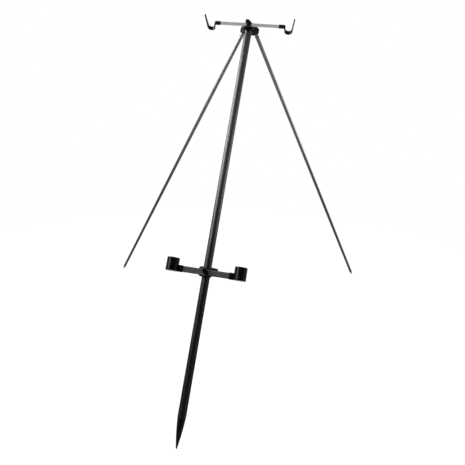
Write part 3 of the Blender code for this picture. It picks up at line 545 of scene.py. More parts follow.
naturalNylon = mouldedFinish("naturalNylon", {        # the pad that bears on the post
    "dark": (0.42, 0.40, 0.35), "light": (0.50, 0.48, 0.43), "fineness": 1200.0, "depth": 0.08,
    "smooth": 0.42, "rough": 0.55, "specular": 0.45, "markSize": 60.0, "markWidth": 0.004,
    "scuffed": (0.30, 0.28, 0.24), "rubFrom": 0.54, "rubTo": 0.62, "worn": (0.56, 0.54, 0.49)})
print("finishes made")


# the post: a tube, and the spike that plugs its foot

post = {"radius": 0.015, "wall": 0.0015, "low": 0.0993, "high": 1.655, "lip": 0.0004, "around": largeRound,
        "pinHeight": 0.121, "pinHole": 0.0028, "screwHeight": 1.639, "screwHole": 0.0023}
spike = {"radius": 0.015, "cone": 0.099, "point": 0.0025, "plug": 0.0132, "plugTop": 0.149,
         "lead": (0.002, 0.004), "shoulder": 0.0003, "belly": 0.0014}
springPin = {"radius": 0.0025, "bore": 0.0014, "half": 0.0147, "lead": 0.0005, "slot": 0.0007}


def tube(size, low, high):
    outer, inner, lip = size["radius"], size["radius"] - size["wall"], size["lip"]
    step = 6 * lip        # rings beside the rims keep the shading of the ends short
    profile = [(inner, high, lip), (outer, high, lip), (outer, high - step), (outer, low + step),
               (outer, low, lip), (inner, low, lip), (inner, low + step), (inner, high - step)]
    return lathe(rounded(profile, steps=3), size["around"], closed=True)


def pointed(size, rings=12, steps=10):
    # a plug, and below it a cone that ends in a small ball; belly makes the cone's side stand out a little
    radius, cone, point, shoulder = size["radius"], size["cone"], size["point"], size["shoulder"]
    lean = math.atan2(radius - point, cone - point)
    for _ in range(8):
        lean = math.atan2(radius - point * math.cos(lean), cone - point + point * math.sin(lean))
    ball = arc((0, point), point, -math.degrees(lean), -90, steps)
    ball[-1] = (0, 0)
    slope = (radius - ball[0][0]) / (cone - ball[0][1])
    leadIn, leadDown = size["lead"]
    profile = [(0, size["plugTop"]), (size["plug"] - leadIn, size["plugTop"]),
               (size["plug"], size["plugTop"] - leadDown), (size["plug"], cone),
               (radius - shoulder, cone), (radius - shoulder * slope, cone - shoulder)]
    for share in [ring / rings for ring in range(1, rings)]:
        out = size["belly"] * math.sin(math.pi * share)
        profile.append((ball[0][0] + (radius - ball[0][0]) * (1 - share) + out,
                        ball[0][1] + (cone - ball[0][1]) * (1 - share)))
    return profile + ball


pinPlace = moved(z=post["pinHeight"]) @ alongX
postTube = shape("postTube", tube(post, post["low"], post["high"]))
cutFrom(postTube, (rod(post["pinHole"], -largeReach, largeReach), pinPlace),
        (rod(post["screwHole"], -largeReach, 0), moved(z=post["screwHeight"]) @ alongX))
fit(postTube, standPlace, "post", "post_tube", gunmetalAnodisedFootShade)

groundSpike = shape("groundSpike", lathe(pointed(spike), largeRound))
cutFrom(groundSpike, (rod(post["pinHole"], -largeReach, largeReach), pinPlace))
fit(groundSpike, standPlace, "post", "ground_spike", spikePaint)

outer, bore, half, lead = (springPin[key] for key in ("radius", "bore", "half", "lead"))
profile = [(bore, half), (outer - lead, half), (outer, half - lead), (outer, lead - half),
           (outer - lead, -half), (bore, -half)]
spikePin = shape("spikePin", lathe(profile, smallRound, closed=True))
slot = springPin["slot"] / 2
cutFrom(spikePin, (box((0, -slot, -smallReach), (tinyReach, slot, smallReach)), None))
fit(spikePin, standPlace @ moved(z=post["pinHeight"]) @ alongX, "post", "spike_pin", darkSteel)
print("post and spike made")


# what grips the post: the head hub above and the collar below

grip = {"radius": 0.020, "bore": 0.0153, "height": 0.025, "belowBar": 0.0094, "seatWidth": 0.035,
        "seatFront": 0.0225, "seatTopMargin": 0.003, "seatBottomMargin": 0.0005, "tongueDrop": 0.015,
        "tongueFront": 0.017, "soft": 0.0012, "seatSoft": 0.0009, "creaseSoft": 0.00035, "root": 0.0103,
        "studHole": 0.0043, "cutBelow": 0.05, "cutFront": 0.04, "topBar": 1.6394, "lowerBar": 0.5978}


def gripBody(name, barHeight):
    # a ring with a flat seat for a bar in front, drawn down into a V
    low = barHeight - grip["belowBar"]
    high = low + grip["height"]
    made = shape(name, rod(grip["radius"], low, high, largeRound, grip["soft"]))
    half = grip["seatWidth"] / 2
    front = [(x, -grip["seatFront"], z) for x in (-half, half)
             for z in (low + grip["seatBottomMargin"], high - grip["seatTopMargin"])]
    back = [(x, 0, z) for x, _, z in front]
    tongue = [(0, -grip["tongueFront"], low - grip["tongueDrop"]), (0, 0, low - grip["tongueDrop"])]
    joinTo(made, (wrap(front + back + tongue, grip["seatSoft"]), None))
    return made, low, high


def boreCutter(low, high):
    return rod(grip["bore"], low - grip["cutBelow"], high + largeReach, largeRound)


def studCutter(start, barHeight):
    return rod(grip["studHole"], start, grip["cutFront"], smallRound), moved(z=barHeight) @ alongY


ear = {"width": 0.026, "slot": 0.0168, "outer": 0.0095, "drop": 0.0135, "rise": 0.0135, "topRadius": 0.008,
       "bottomRadius": 0.006, "rootDrop": 0.004, "crest": 0.0195, "margin": 0.002, "web": -0.0123,
       "slotBelow": 0.001, "pinHole": 0.0033, "soft": 0.0009, "fromPost": 0.046, "height": 1.6635}
hub = {"capRoom": 0.0202, "studFloor": 0.0168}        # the room for the cap, and where the stud's hole ends

headHub, hubLow, hubHigh = gripBody("headHub", grip["topBar"])
hingeSpots = {side: standPlace.inverted() @ hingePlaces[side] for side in sides}
inner = grip["root"] - ear["fromPost"]
root = hubLow - ear["rootDrop"] - ear["height"]
outline = [(inner, root)]
outline += arc((ear["outer"] - ear["bottomRadius"], ear["bottomRadius"] - ear["drop"]), ear["bottomRadius"],
               -90, 0, 8)
outline += arc((ear["outer"] - ear["topRadius"], ear["rise"] - ear["topRadius"]), ear["topRadius"], 0, 90, 10)
outline += [(ear["outer"] - ear["crest"], ear["rise"] - ear["margin"]),
            (inner, hubHigh - ear["height"] - gap)]
joinTo(headHub, *[(slab(outline, -ear["width"] / 2, ear["width"] / 2, ear["soft"]), hingeSpots[side])
                  for side in sides])
slot = ear["slot"] / 2
cutFrom(headHub,
        (boreCutter(hubLow, hubHigh), None),
        (rod(hub["capRoom"], hubHigh, hubHigh + largeReach, largeRound), None),
        *[(box((ear["web"], -slot, root - ear["slotBelow"]), (smallReach, slot, largeReach)),
           hingeSpots[side]) for side in sides],
        *[(rod(ear["pinHole"], -largeReach, largeReach, smallRound), hingeSpots[side] @ alongY)
          for side in sides],
        studCutter(hub["studFloor"], grip["topBar"]),
        (rod(post["screwHole"], -grip["cutFront"], 0), moved(z=post["screwHeight"]) @ alongX))
soften(headHub, grip["creaseSoft"])
fit(headHub, standPlace, "post", "head_hub", mattNylon)

cap = {"rim": 0.0195, "low": 1.6553, "high": 1.6585, "plug": 0.0132, "plugLength": 0.012, "soft": 0.0011,
       "lowSoft": 0.0003, "plugSoft": 0.001, "dish": 0.0145, "dishDepth": 0.0004, "dishSlope": 0.0008,
       "dishSoft": 0.0004}
floor = cap["high"] - cap["dishDepth"]
profile = [(0, floor), (cap["dish"] - cap["dishSlope"], floor, cap["dishSoft"]),
           (cap["dish"], cap["high"], cap["dishSoft"]), (cap["rim"], cap["high"], cap["soft"]),
           (cap["rim"], cap["low"], cap["lowSoft"]), (cap["plug"], cap["low"]),
           (cap["plug"], cap["low"] - cap["plugLength"], cap["plugSoft"]),
           (0, cap["low"] - cap["plugLength"])]
hubCap = shape("hubCap", lathe(rounded(profile, closed=False), largeRound))
fit(hubCap, standPlace, "post", "hub_cap", mattNylon, 40)

screw = {"seat": 0.0203, "head": 0.00375, "rise": 0.0022, "shank": 0.002, "end": 0.0125, "cross": 0.0008,
         "crossReach": 0.0021, "crossDepth": 0.0011}


def dome(radius, seat, rise, steps=10):
    # a low round head, from its crown down to its rim
    made = [(0, seat + rise)]
    for step in range(1, steps + 1):
        angle = math.pi / 2 * step / steps
        made.append((radius * math.sin(angle), seat + rise * math.cos(angle)))
    return made


profile = dome(screw["head"], screw["seat"], screw["rise"])
profile += [(screw["shank"], screw["seat"]), (screw["shank"], screw["end"]), (0, screw["end"])]
hubScrew = shape("hubScrew", lathe(profile, 48))
floor = screw["seat"] + screw["rise"] - screw["crossDepth"]
reach, half = screw["crossReach"], screw["cross"] / 2
cutFrom(hubScrew, *[(box((-x, -y, floor), (x, y, floor + tinyReach)), None)
                    for x, y in ((reach, half), (half, reach))])
fit(hubScrew, standPlace @ moved(z=post["screwHeight"]) @ Matrix.Rotation(-math.pi / 2, 4, "Y"),
    "post", "hub_screw", darkSteel)
print("head hub made")


# hinge bolts and their lock nuts

hinge = {"seat": 0.0133, "head": 0.005, "headRise": 0.0035, "shank": 0.003, "socket": 0.00225,
         "socketDepth": 0.002, "nutFlats": 0.010, "nutHeight": 0.005, "past": 0.001, "insert": 0.0041,
         "thread": 0.0005, "threadDepth": 0.0003, "threads": 4.4, "taper": 0.0005, "nutChamfer": 0.0006,
         "nutFaces": (0.97, 0.99), "nutShoulder": (0.0020, 0.0013, 0.0012), "insertEdge": (0.0004, 0.0006)}
for side, front in (("left", 1), ("right", -1)):
    place = hingePlaces[side] @ Matrix.Rotation(-front * math.pi / 2, 4, "X")
    crown = hinge["seat"] + hinge["headRise"]
    low = -(hinge["seat"] + hinge["nutHeight"] + hinge["past"])
    shank, thread = hinge["shank"], hinge["thread"]
    profile = dome(hinge["head"], hinge["seat"], hinge["headRise"], 12)
    profile += [(shank, hinge["seat"]), (shank, low + hinge["threads"] * thread)]
    for turn in (4, 3, 2, 1):        # the last threads, which stand out of the nut
        profile += [(shank - hinge["threadDepth"], low + turn * thread), (shank, low + (turn - 0.5) * thread)]
    profile += [(shank - hinge["taper"], low), (0, low)]
    bolt = shape(side + "HingeBolt", lathe(profile, 48))
    cutFrom(bolt, (rod(hinge["socket"], crown - hinge["socketDepth"], crown + tinyReach, 6), None))
    fit(bolt, place, "post", side + "_hinge_bolt", darkSteel)

    outer = hinge["nutFlats"] / math.sqrt(3)
    seat = -hinge["seat"]
    end = seat - hinge["nutHeight"]
    flat, insert = hinge["nutFlats"] / 2, hinge["insert"]
    seatFace, endFace = hinge["nutFaces"]
    edge, shoulder, step = hinge["nutShoulder"]
    rise, inset = hinge["insertEdge"]
    nut = shape(side + "HingeNut", rod(outer, end, seat, 6))
    profile = [(0, seat), (flat * seatFace, seat), (outer, seat - hinge["nutChamfer"]), (outer, end + edge),
               (flat * endFace, end + shoulder), (insert + rise, end + step), (insert, end + rise),
               (insert - inset, end), (0, end)]
    combine(nut, [(lathe(profile, 60), None)], "INTERSECT")
    cutFrom(nut, (rod(shank + gap, end - tinyReach, seat + tinyReach, smallRound), None))
    fit(nut, place, "post", side + "_hinge_nut", darkSteel, 25)
print("hinges made")


# the legs: a moulded knuckle, the tube and its tip

leg = {"radius": 0.008, "wall": 0.0012, "length": 1.6864, "offset": 0.004, "lip": 0.0003,
       "around": middleRound, "rivetHole": 0.0023, "rivet": 0.002, "rivetDepth": 0.014}
knuckle = {"stop": 61.5, "width": 0.0162, "heel": 0.012, "heelLength": 0.006, "pinWall": 0.003, "pin": 0.003,
           "length": 0.0095, "collar": 0.003, "plug": 0.0065, "plugLength": 0.030, "soft": 0.0009,
           "corners": (0.0012, 0.0016, 0.002)}
tip = {"radius": leg["radius"], "cone": 0.027, "point": 0.0025, "plug": knuckle["plug"], "plugTop": 0.052,
       "lead": (0.001, 0.002), "shoulder": 0.0003, "belly": 0.0}
rivetHead = {"extra": 0.0012, "rise": 0.0009}


def rivet(radius, grip):
    # along z, with a low head at both ends
    seat = grip / 2 + gap
    head = dome(radius + rivetHead["extra"], seat, rivetHead["rise"], 6)
    return lathe(head + [(radius, seat), (radius, -seat)] + [(r, -z) for r, z in reversed(head)], smallRound)


stop = math.radians(knuckle["stop"])
heelWay = Vector((-math.cos(stop), math.sin(stop)))
heelUp = Vector((math.sin(stop), math.cos(stop)))
corner = knuckle["heel"] * heelWay + knuckle["heelLength"] * heelUp
outer = knuckle["pin"] + knuckle["pinWall"]
outline = [(-knuckle["heel"], -knuckle["length"] + knuckle["collar"])]
outline += arc((0, 0), knuckle["heel"], 180, 180 - knuckle["stop"], 12)
heelSoft, upperSoft, lowerSoft = knuckle["corners"]
outline += [(corner.x, corner.y, heelSoft),
            (outer, corner.y - (outer - corner.x) * math.tan(stop), upperSoft),
            (outer, -outer, lowerSoft),
            (leg["radius"] - leg["offset"], -knuckle["length"] + knuckle["collar"])]
half = knuckle["width"] / 2
low = -knuckle["length"]
onAxis = moved(x=-leg["offset"])
for side in sides:
    place = legPlaces[side]
    body = side + "_leg"
    piece = shape(side + "LegKnuckle", slab(rounded(outline), -half, half, knuckle["soft"]))
    joinTo(piece,
           (rod(leg["radius"] - gap, low, low + 2 * knuckle["collar"], middleRound, leg["lip"]), onAxis),
           (rod(knuckle["plug"], low - knuckle["plugLength"], low + knuckle["collar"], middleRound), onAxis))
    cutFrom(piece, (rod(knuckle["pin"] + gap, -smallReach, smallReach, smallRound), alongY),
            (rod(leg["rivetHole"], -smallReach, smallReach),
             moved(x=-leg["offset"], z=low - leg["rivetDepth"]) @ alongY))
    fit(piece, place, body, side + "_leg_knuckle", mattNylon)

    piece = shape(side + "LegTube", tube(leg, -leg["length"] + tip["cone"] + gap, low - gap))
    cutFrom(piece, (rod(leg["rivetHole"], -smallReach, smallReach),
                    moved(z=low - leg["rivetDepth"]) @ alongY))
    fit(piece, place @ onAxis, body, side + "_leg_tube", legAnodisedFootShade)

    piece = shape(side + "LegRivet", rivet(leg["rivet"], 2 * leg["radius"]))
    fit(piece, place @ moved(x=-leg["offset"], z=low - leg["rivetDepth"]) @ alongY, body, side + "_leg_rivet",
        darkSteel)

    piece = shape(side + "LegTip", lathe(pointed(tip)))
    fit(piece, place @ moved(x=-leg["offset"], z=-leg["length"]), body, side + "_leg_tip", blackNylon,
        40)
print("legs made")


# the top bar and its two rod rests

topBar = {"half": 0.1415, "height": 0.0145, "thickness": 0.003, "tenonHeight": 0.0115, "tenon": 0.0202,
          "corner": 0.0006, "soft": 0.0005, "rivetSoft": 0.0002}
rest = {"sleeve": 0.0222, "wall": 0.0013, "floor": 0.002, "height": 0.016, "thickness": 0.0048,
        "bend": 0.0035, "legOffset": 0.0002, "radius": 0.0145, "depth": 0.033, "horn": 0.063, "lean": 5.0,
        "tipHeight": 0.008, "tipThickness": 0.0046, "tipFlat": 0.0001, "tipNarrow": 1.6, "rooted": 0.95,
        "corner": 0.0013, "rivet": 0.0016, "soft": 0.0006}


def barOutline(half, size, under=()):
    # a flat bar with a narrower tenon at both ends; under adds points below its middle
    tall, low = size["height"] / 2, size["tenonHeight"] / 2
    shoulder, corner = half - size["tenon"], size["corner"]
    return [(-half, -low, corner), (-shoulder, -low), (-shoulder, -tall, corner), *under,
            (shoulder, -tall, corner), (shoulder, -low), (half, -low, corner), (half, low, corner),
            (shoulder, low), (shoulder, tall, corner), (-shoulder, tall, corner), (-shoulder, low),
            (-half, low, corner)]


def drillBar(piece, size, studPlace, rivetRadius, rivetX):
    # holes for the stud and for both rivets, with eased mouths
    thin = size["thickness"] / 2
    cutFrom(piece, (flare(grip["studHole"], -thin, thin), studPlace),
            *[(flare(rivetRadius + gap, -thin, thin, soft=size["rivetSoft"]), moved(x=way * rivetX) @ alongY)
              for way in (-1, 1)])


studX = (topBarPlace.inverted() @ jointSpot("top_bar_swivel")).x
restEnd = topBar["half"] + gap + rest["floor"]
rivetX = restEnd - rest["sleeve"] / 2
thin = topBar["thickness"] / 2
outline = rounded(barOutline(topBar["half"], topBar), steps=3)
silverBar = shape("silverBar", slab(outline, -thin, thin, topBar["soft"], steps=2))
drillBar(silverBar, topBar, moved(x=studX) @ alongY, rest["rivet"], rivetX)
fit(silverBar, topBarPlace, "top_bar", "top_bar", silverAnodised)


def crossSection(thickness, height, corner):
    soft = min(corner, thickness * 0.48, height * 0.48)
    x, y = thickness / 2, height / 2
    return rounded([(-x, -y, soft), (x, -y, soft), (x, y, soft), (-x, y, soft)])


def sweep(path, sizes, corner):
    # carries a rounded strip along a path in the xy plane
    mesh = bmesh.new()
    rings = []
    for index, (point, size) in enumerate(zip(path, sizes)):
        before, after = path[max(index - 1, 0)], path[min(index + 1, len(path) - 1)]
        ahead = (Vector(after) - Vector(before)).normalized()
        aside = Vector((-ahead.y, ahead.x))
        ring = []
        for across, z in crossSection(*size, corner):
            spot = Vector(point) + aside * across
            ring.append(mesh.verts.new((spot.x, spot.y, z)))
        rings.append(ring)
    for first, second in zip(rings, rings[1:]):
        for index in range(len(first)):
            following = (index + 1) % len(first)
            mesh.faces.new((first[index], first[following], second[following], second[index]))
    mesh.faces.new(rings[0])
    mesh.faces.new(rings[-1][::-1])
    return mesh


def restPath():
    # out of the sleeve, round the bend, down into the U and up along the horn
    lean = math.radians(rest["lean"])
    thick, tipThick = rest["thickness"], rest["tipThickness"]
    bendX = restEnd + thick / 2 - rest["bend"] + rest["legOffset"]
    bend = arc((bendX, rest["bend"]), rest["bend"], -90, 0, 10)
    legX, legY = bend[-1]
    centreY = rest["depth"] - rest["radius"]
    rise = centreY + rest["radius"] * math.sin(lean) - legY
    centreX = legX + rise * math.tan(lean) + rest["radius"] * math.cos(lean)
    bowl = arc((centreX, centreY), rest["radius"], 180 - rest["lean"], rest["lean"], 32)
    body = [(restEnd - rest["floor"] * rest["rooted"], 0)] + bend        # starts inside the sleeve's end wall
    for step in range(1, 4):        # the straight between the bend and the U
        body.append((legX + (bowl[0][0] - legX) * step / 4, legY + (bowl[0][1] - legY) * step / 4))
    body += bowl
    sizes = [(thick, rest["height"])] * len(body)
    endX, endY = bowl[-1]
    tipLength = tipThick / 2 - rest["tipFlat"]        # the tip is rounded off over this length
    spans = [rest["horn"] * step / 14 for step in range(1, 14)] + [rest["horn"] - tipLength]
    for run in spans:
        share = run / rest["horn"]
        sizes.append((thick + (tipThick - thick) * share,
                      rest["height"] + (rest["tipHeight"] - rest["height"]) * share))
    for step in range(1, 6):
        angle = math.pi / 2 * step / 5
        spans.append(rest["horn"] - tipLength + tipLength * math.sin(angle))
        less = 2 * tipLength * (1 - math.cos(angle))
        sizes.append((tipThick - less, rest["tipHeight"] - less * rest["tipNarrow"]))
    body += [(endX + run * math.sin(lean), endY - run * math.cos(lean)) for run in spans]
    return body, sizes


path, sizes = restPath()
wall = rest["wall"]
tall = topBar["tenonHeight"] / 2 + gap + wall
deep = topBar["thickness"] / 2 + gap + wall
start = restEnd - rest["sleeve"]
for side, way in sides.items():
    mirror = Matrix.Diagonal((way, 1, 1, 1))
    piece = shape(side + "RodRest", box((start, -deep, -tall), (restEnd, deep, tall), rest["soft"]), mirror)
    joinTo(piece, (sweep(path, sizes, rest["corner"]), mirror))
    cutFrom(piece,
            (box((start - tinyReach, wall - deep, wall - tall),
                 (restEnd - rest["floor"], deep - wall, tall - wall)), mirror),
            (rod(rest["rivet"] + gap, -smallReach, smallReach), moved(x=way * rivetX) @ alongY))
    fit(piece, topBarPlace, "top_bar", side + "_rod_rest", blackNylon, 30)
    piece = shape(side + "RestRivet", rivet(rest["rivet"], 2 * deep))
    fit(piece, topBarPlace @ moved(x=way * rivetX) @ alongY, "top_bar", side + "_rest_rivet", darkSteel)
print("top bar and rests made")


# the lower collar, with a clip for each folded leg

clip = {"low": -0.0045, "high": 0.0244, "wall": 0.0036, "reach": 0.008, "arm": 0.014, "centre": 0.042,
        "soft": 0.0007, "lip": 0.0012, "bend": 0.004, "padHole": 0.0048, "padEnd": 0.0181}
lowerCollar, collarLow, collarHigh = gripBody("lowerCollar", grip["lowerBar"])
slot = leg["radius"] + gap
half = slot + clip["wall"]
foot = clip["centre"] - slot - clip["wall"]
reach = clip["centre"] + clip["reach"]
arm = clip["arm"] / 2
outline = [(grip["root"], -arm), (foot - arm / 2, -arm, clip["bend"]), (foot, -half, clip["bend"]),
           (reach, -half, clip["lip"]), (reach, -slot, clip["lip"])]
outline = rounded(outline, closed=False) + arc((clip["centre"], 0), slot, -90, -270, 24)
outline += rounded([(clip["centre"], slot), (reach, slot, clip["lip"]), (reach, half, clip["lip"]),
                    (foot, half, clip["bend"]), (foot - arm / 2, arm, clip["bend"]), (grip["root"], arm)],
                   closed=False)[1:]
angles = {side: math.atan2(spot.translation.y, spot.translation.x) for side, spot in hingeSpots.items()}
joinTo(lowerCollar, *[(slab(outline, grip["lowerBar"] + clip["low"], grip["lowerBar"] + clip["high"],
                            clip["soft"], "z"), Matrix.Rotation(angles[side], 4, "Z")) for side in sides])
cutFrom(lowerCollar, (boreCutter(collarLow, collarHigh), None), studCutter(0, grip["lowerBar"]),
        (rod(clip["padHole"], 0, clip["padEnd"], smallRound), moved(z=grip["lowerBar"]) @ alongY))
soften(lowerCollar, grip["creaseSoft"])
fit(lowerCollar, standPlace, "collar", "lower_collar", blackNylon)
print("collar made")


# the lower bar and its two butt cups

cup = {"spacing": 0.250, "radius": 0.02325, "wall": 0.0022, "floor": 0.003, "height": 0.0488, "base": -0.0124,
       "sleeve": 0.0165, "sleeveWall": 0.0025, "rivet": 0.002, "drain": 0.0025, "drainCircle": 0.011,
       "drains": 3, "bottomEdge": 0.0022, "innerEdge": 0.0025, "rim": 0.0009, "rimBand": 0.004,
       "footBand": 0.006, "soft": 0.0006}
cupBar = {"back": 0.003, "height": 0.0225, "thickness": 0.004, "tenonHeight": 0.0195, "tenon": 0.0138,
          "corner": 0.0008, "bossWidth": 0.0506, "bossDrop": 0.0055, "bossCorners": (0.002, 0.0015),
          "soft": 0.0006, "rivetSoft": 0.0002}
cupBarHalf = cup["spacing"] / 2 - cup["radius"] - cupBar["back"]
sleeveStart = cup["spacing"] / 2 - cup["radius"] - cup["sleeve"]
cupRivetX = (sleeveStart + cupBarHalf) / 2
tall = cupBar["height"] / 2
thin = cupBar["thickness"] / 2
bossHalf, drop = cupBar["bossWidth"] / 2, cupBar["bossDrop"]
inside, outside = cupBar["bossCorners"]
boss = [(-bossHalf, -tall, inside), (drop - bossHalf, -tall - drop, outside),
        (bossHalf - drop, -tall - drop, outside), (bossHalf, -tall, inside)]
outline = rounded(barOutline(cupBarHalf, cupBar, boss), steps=3)
mesh = slab(outline, -thin, thin, cupBar["soft"], steps=2)
bmesh.ops.bisect_plane(mesh, geom=mesh.verts[:] + mesh.edges[:] + mesh.faces[:], plane_co=(0, 0, -tall),
                       plane_no=(0, 0, 1))        # the boss under the bar is black
greyBar = shape("greyBar", mesh)
drillBar(greyBar, cupBar, alongY, cup["rivet"], cupRivetX)
fit(greyBar, cupBarPlace, "cup_bar", "cup_bar", darkGreyPaint)
greyBar.data.materials.append(blackNylon)
for face in greyBar.data.polygons:
    face.material_index = int(face.center.z < -tall)

radius, wall, base = cup["radius"], cup["sleeveWall"], cup["base"]
inner = radius - cup["wall"]
floor, top = base + cup["floor"], base + cup["height"]
profile = [(0, floor), (inner, floor, cup["innerEdge"]), (inner, top - cup["rimBand"]),
           (inner, top, cup["rim"]), (radius, top, cup["rim"]), (radius, top - cup["rimBand"]),
           (radius, base + cup["footBand"]), (radius, base, cup["bottomEdge"]), (0, base)]
tall = cupBar["tenonHeight"] / 2 + gap + wall
deep = thin + gap + wall
sleeveEnd = cup["spacing"] / 2 - radius + cup["wall"] / 2
for side, way in sides.items():
    mirror = Matrix.Diagonal((way, 1, 1, 1))
    atCup = moved(x=way * cup["spacing"] / 2)
    piece = shape(side + "RodCup", lathe(rounded(profile, closed=False), largeRound), atCup)
    joinTo(piece, (box((sleeveStart, -deep, -tall), (sleeveEnd, deep, tall), cup["soft"]), mirror))
    cavity = box((sleeveStart - tinyReach, wall - deep, wall - tall),
                 (cupBarHalf + gap, deep - wall, tall - wall))
    turns = [Matrix.Rotation(math.tau * (index + 0.5) / cup["drains"], 4, "Z")
             for index in range(cup["drains"])]
    cutFrom(piece, (cavity, mirror),
            *[(rod(cup["drain"], -tinyReach / 2, tinyReach),
               atCup @ turn @ moved(x=cup["drainCircle"], z=base)) for turn in turns],
            (rod(cup["rivet"] + gap, -smallReach, smallReach), moved(x=way * cupRivetX) @ alongY))
    fit(piece, cupBarPlace, "cup_bar", side + "_rod_cup", blackNylon)
    piece = shape(side + "CupRivet", rivet(cup["rivet"], 2 * deep))
    fit(piece, cupBarPlace @ moved(x=way * cupRivetX) @ alongY, "cup_bar", side + "_cup_rivet", darkSteel)
print("lower bar and cups made")


# the two clamp knobs, each on its stud, with a washer behind it

knob = {"neck": 0.00725, "neckHeight": 0.005, "neckIn": 0.004, "neckSoft": 0.0006, "length": 0.030,
        "width": 0.015, "depth": 0.010, "round": 0.0024, "stud": 0.004, "studIn": 0.010,
        "turns": {"top": 50, "lower": 52}}
washer = {"outer": 0.009, "thickness": 0.0012, "soft": 0.0002}
hole = knob["stud"] + gap
for end, bar, body in (("top", topBar, "post"), ("lower", cupBar, "collar")):
    low = grip["seatFront"] + 2 * gap + bar["thickness"]
    high = low + washer["thickness"]
    profile = [(hole, high, washer["soft"]), (washer["outer"], high, washer["soft"]),
               (washer["outer"], low, washer["soft"]), (hole, low, washer["soft"])]
    piece = shape(end + "Washer", lathe(rounded(profile, steps=2), closed=True))
    fit(piece, knobPlaces[end], body, end + "_washer", darkSteel)

    base = high + gap
    wing = base + knob["neckHeight"]
    neck = [(0, wing + knob["neckIn"]), (knob["neck"], wing + knob["neckIn"]),
            (knob["neck"], base, knob["neckSoft"]), (0, base)]
    piece = shape(end + "Knob", lathe(rounded(neck, closed=False)))
    half = knob["width"] / 2
    run = knob["length"] / 2 - half
    outline = arc((0, run), half, 0, 180, 16) + arc((0, -run), half, 180, 360, 16)
    turn = Matrix.Rotation(math.radians(knob["turns"][end]), 4, "Z")
    joinTo(piece, (slab(outline, wing, wing + knob["depth"], knob["round"], "z", 5), turn))
    cutFrom(piece, (rod(hole, 0, base + knob["studIn"] + gap, smallRound), None))
    fit(piece, knobPlaces[end], end + "_knob", end + "_knob", blackNylon, 40)
for name, finish in (("top_stud", darkSteel), ("lower_stud", darkSteel), ("clamp_pad", naturalNylon)):
    nodes[name].data.materials.clear()
    nodes[name].data.materials.append(finish)
print("knobs made")


# studio: a pale floor that turns up into a round wall, soft lamps, and a dark card behind the camera

studio = {"radius": 6.0, "ring": 2.0, "turn": 1.2, "height": 6.5, "middle": 0.3, "whiteness": 0.88,
          "fade": (0.4, 2.4), "paint": (0.88, 0.88, 0.88), "paler": 1.01, "rough": 0.9, "specular": 0.1}
bendStart = studio["radius"] - studio["turn"]
profile = [(0, 0), (studio["ring"], 0), (bendStart, 0)]
profile += arc((bendStart, studio["turn"]), studio["turn"], -90, 0, 16)[1:]
profile += [(studio["radius"], studio["height"])]
backdrop = shape("paleFloor", lathe(profile, 128), moved(y=studio["middle"]))
backdrop.data.shade_smooth()
backdrop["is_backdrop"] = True

paleFloor, tree, shader = startFinish("paleFloor")
tint = use(tree, mouldedGrain, Fineness=60.0, Depth=0.0)["Flow"]
paler = tuple(part * studio["paler"] for part in studio["paint"])
feed(tree, shader.inputs["Base Color"], blend(tree, tint, studio["paint"], paler))
shader.inputs["Roughness"].default_value = studio["rough"]
shader.inputs["Specular IOR Level"].default_value = studio["specular"]
rays = node(tree, "ShaderNodeLightPath").outputs
seen = sums(tree, "MAXIMUM", rays["Is Camera Ray"], rays["Is Glossy Ray"])
seen = sums(tree, "MAXIMUM", seen, rays["Is Transmission Ray"])
far = node(tree, "ShaderNodeVectorMath", operation="LENGTH")        # the shadow stays near the feet
feed(tree, far.inputs[0], node(tree, "ShaderNodeNewGeometry").outputs["Position"])
fade = remap(tree, far.outputs["Value"], *studio["fade"])
white = sums(tree, "MAXIMUM", fade, studio["whiteness"])
glow = node(tree, "ShaderNodeEmission")
glow.inputs["Color"].default_value = (1, 1, 1, 1)
glow.inputs["Strength"].default_value = 1.0
mix = node(tree, "ShaderNodeMixShader")
shown = sums(tree, "MULTIPLY", seen, white)
for socket, value in zip(mix.inputs, (shown, shader.outputs[0], glow.outputs[0])):
    feed(tree, socket, value)
output = [item for item in tree.nodes if item.bl_idname == "ShaderNodeOutputMaterial"][0]
feed(tree, output.inputs["Surface"], mix.outputs[0])
backdrop.data.materials.append(paleFloor)

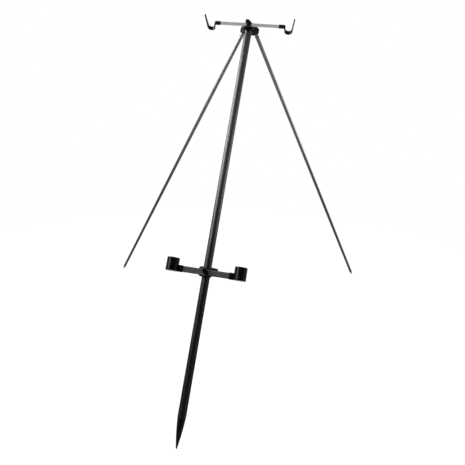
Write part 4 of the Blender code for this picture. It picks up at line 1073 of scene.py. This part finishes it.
card = {"radius": 4.6, "from": 222, "to": 325, "height": 5.6, "thickness": 0.02}        # angles from +X
outline = arc((0, 0), card["radius"], card["from"], card["to"], 40)
outline += arc((0, 0), card["radius"] + card["thickness"], card["from"], card["to"], 40)[::-1]
darkCard = shape("darkCard", slab(outline, 0.0, card["height"], 0.0, "z"))
darkCard.data.materials.append(mouldedFinish("cardBlack", {
    "dark": (0.004, 0.004, 0.004), "light": (0.006, 0.006, 0.006), "fineness": 60.0, "depth": 0.0,
    "smooth": 0.9, "rough": 0.95, "specular": 0.0, "scuff": 0.0, "scuffed": (0.01, 0.01, 0.01), "rub": 0.0,
    "worn": (0.01, 0.01, 0.01)}))
darkCard.visible_camera = False
darkCard.visible_diffuse = False
darkCard.visible_shadow = False
darkCard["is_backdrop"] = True

lamps = {        # name: spot, aim, width, height, watts
    "leftKey": ((-2.30, 0.20, 2.75), (0.0, -0.1, 1.3), 2.3, 1.8, 190.0),
    "cupKey": ((-2.05, -1.65, 1.9), (0.0, -0.5, 0.75), 0.35, 0.6, 48.0),
    "topSoft": ((0.3, 1.8, 4.4), (0.0, 0.0, 0.8), 3.0, 2.0, 32.0),
    "rightRim": ((2.9, 0.8, 1.05), (0.3, 0.3, 1.0), 2.2, 0.7, 42.0),
    "rightFill": ((2.8, -1.6, 1.6), (0.0, -0.2, 0.8), 0.8, 1.6, 4.0)}
for name, (spot, aim, width, height, watts) in lamps.items():
    data = bpy.data.lights.new(name, "AREA")
    data.shape = "RECTANGLE"
    data.size = width
    data.size_y = height
    data.energy = watts
    lamp = bpy.data.objects.new(name, data)
    bpy.context.scene.collection.objects.link(lamp)
    away = (Vector(spot) - Vector(aim)).normalized()
    lamp.matrix_world = placeAt(Vector(spot), away, Vector((0, 0, 1) if abs(away.z) < 0.9 else (0, 1, 0)))
    lamp.visible_camera = False

air = {"dim": (0.10, 0.103, 0.108), "bright": (0.72, 0.74, 0.77), "from": 0.70, "to": 0.95}        # by height
world = bpy.data.worlds.new("studioAir")
bpy.context.scene.world = world
world.use_nodes = True
tree = world.node_tree
parts = node(tree, "ShaderNodeSeparateXYZ")
feed(tree, parts.inputs[0], node(tree, "ShaderNodeTexCoord").outputs["Generated"])
rise = remap(tree, parts.outputs["Z"], air["from"], air["to"])
feed(tree, tree.nodes["Background"].inputs["Color"], blend(tree, rise, air["dim"], air["bright"]))
tree.nodes["Background"].inputs["Strength"].default_value = 1.0

view = {"spot": (0.24832, -1.71262, 1.11165), "ahead": (-0.1156, 0.9376, -0.3279),
        "up": (-0.0690, 0.3217, 0.9443), "lens": 29.42, "film": 36.0}
cameraData = bpy.data.cameras.new("camera")
cameraData.lens = view["lens"]
cameraData.sensor_width = view["film"]
cameraData.clip_start = 0.01
camera = bpy.data.objects.new("camera", cameraData)
bpy.context.scene.collection.objects.link(camera)
camera.matrix_world = placeAt(Vector(view["spot"]), -Vector(view["ahead"]), Vector(view["up"]))
bpy.context.scene.camera = camera
bpy.context.scene.view_settings.view_transform = "Standard"
print("studio set")

low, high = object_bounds()
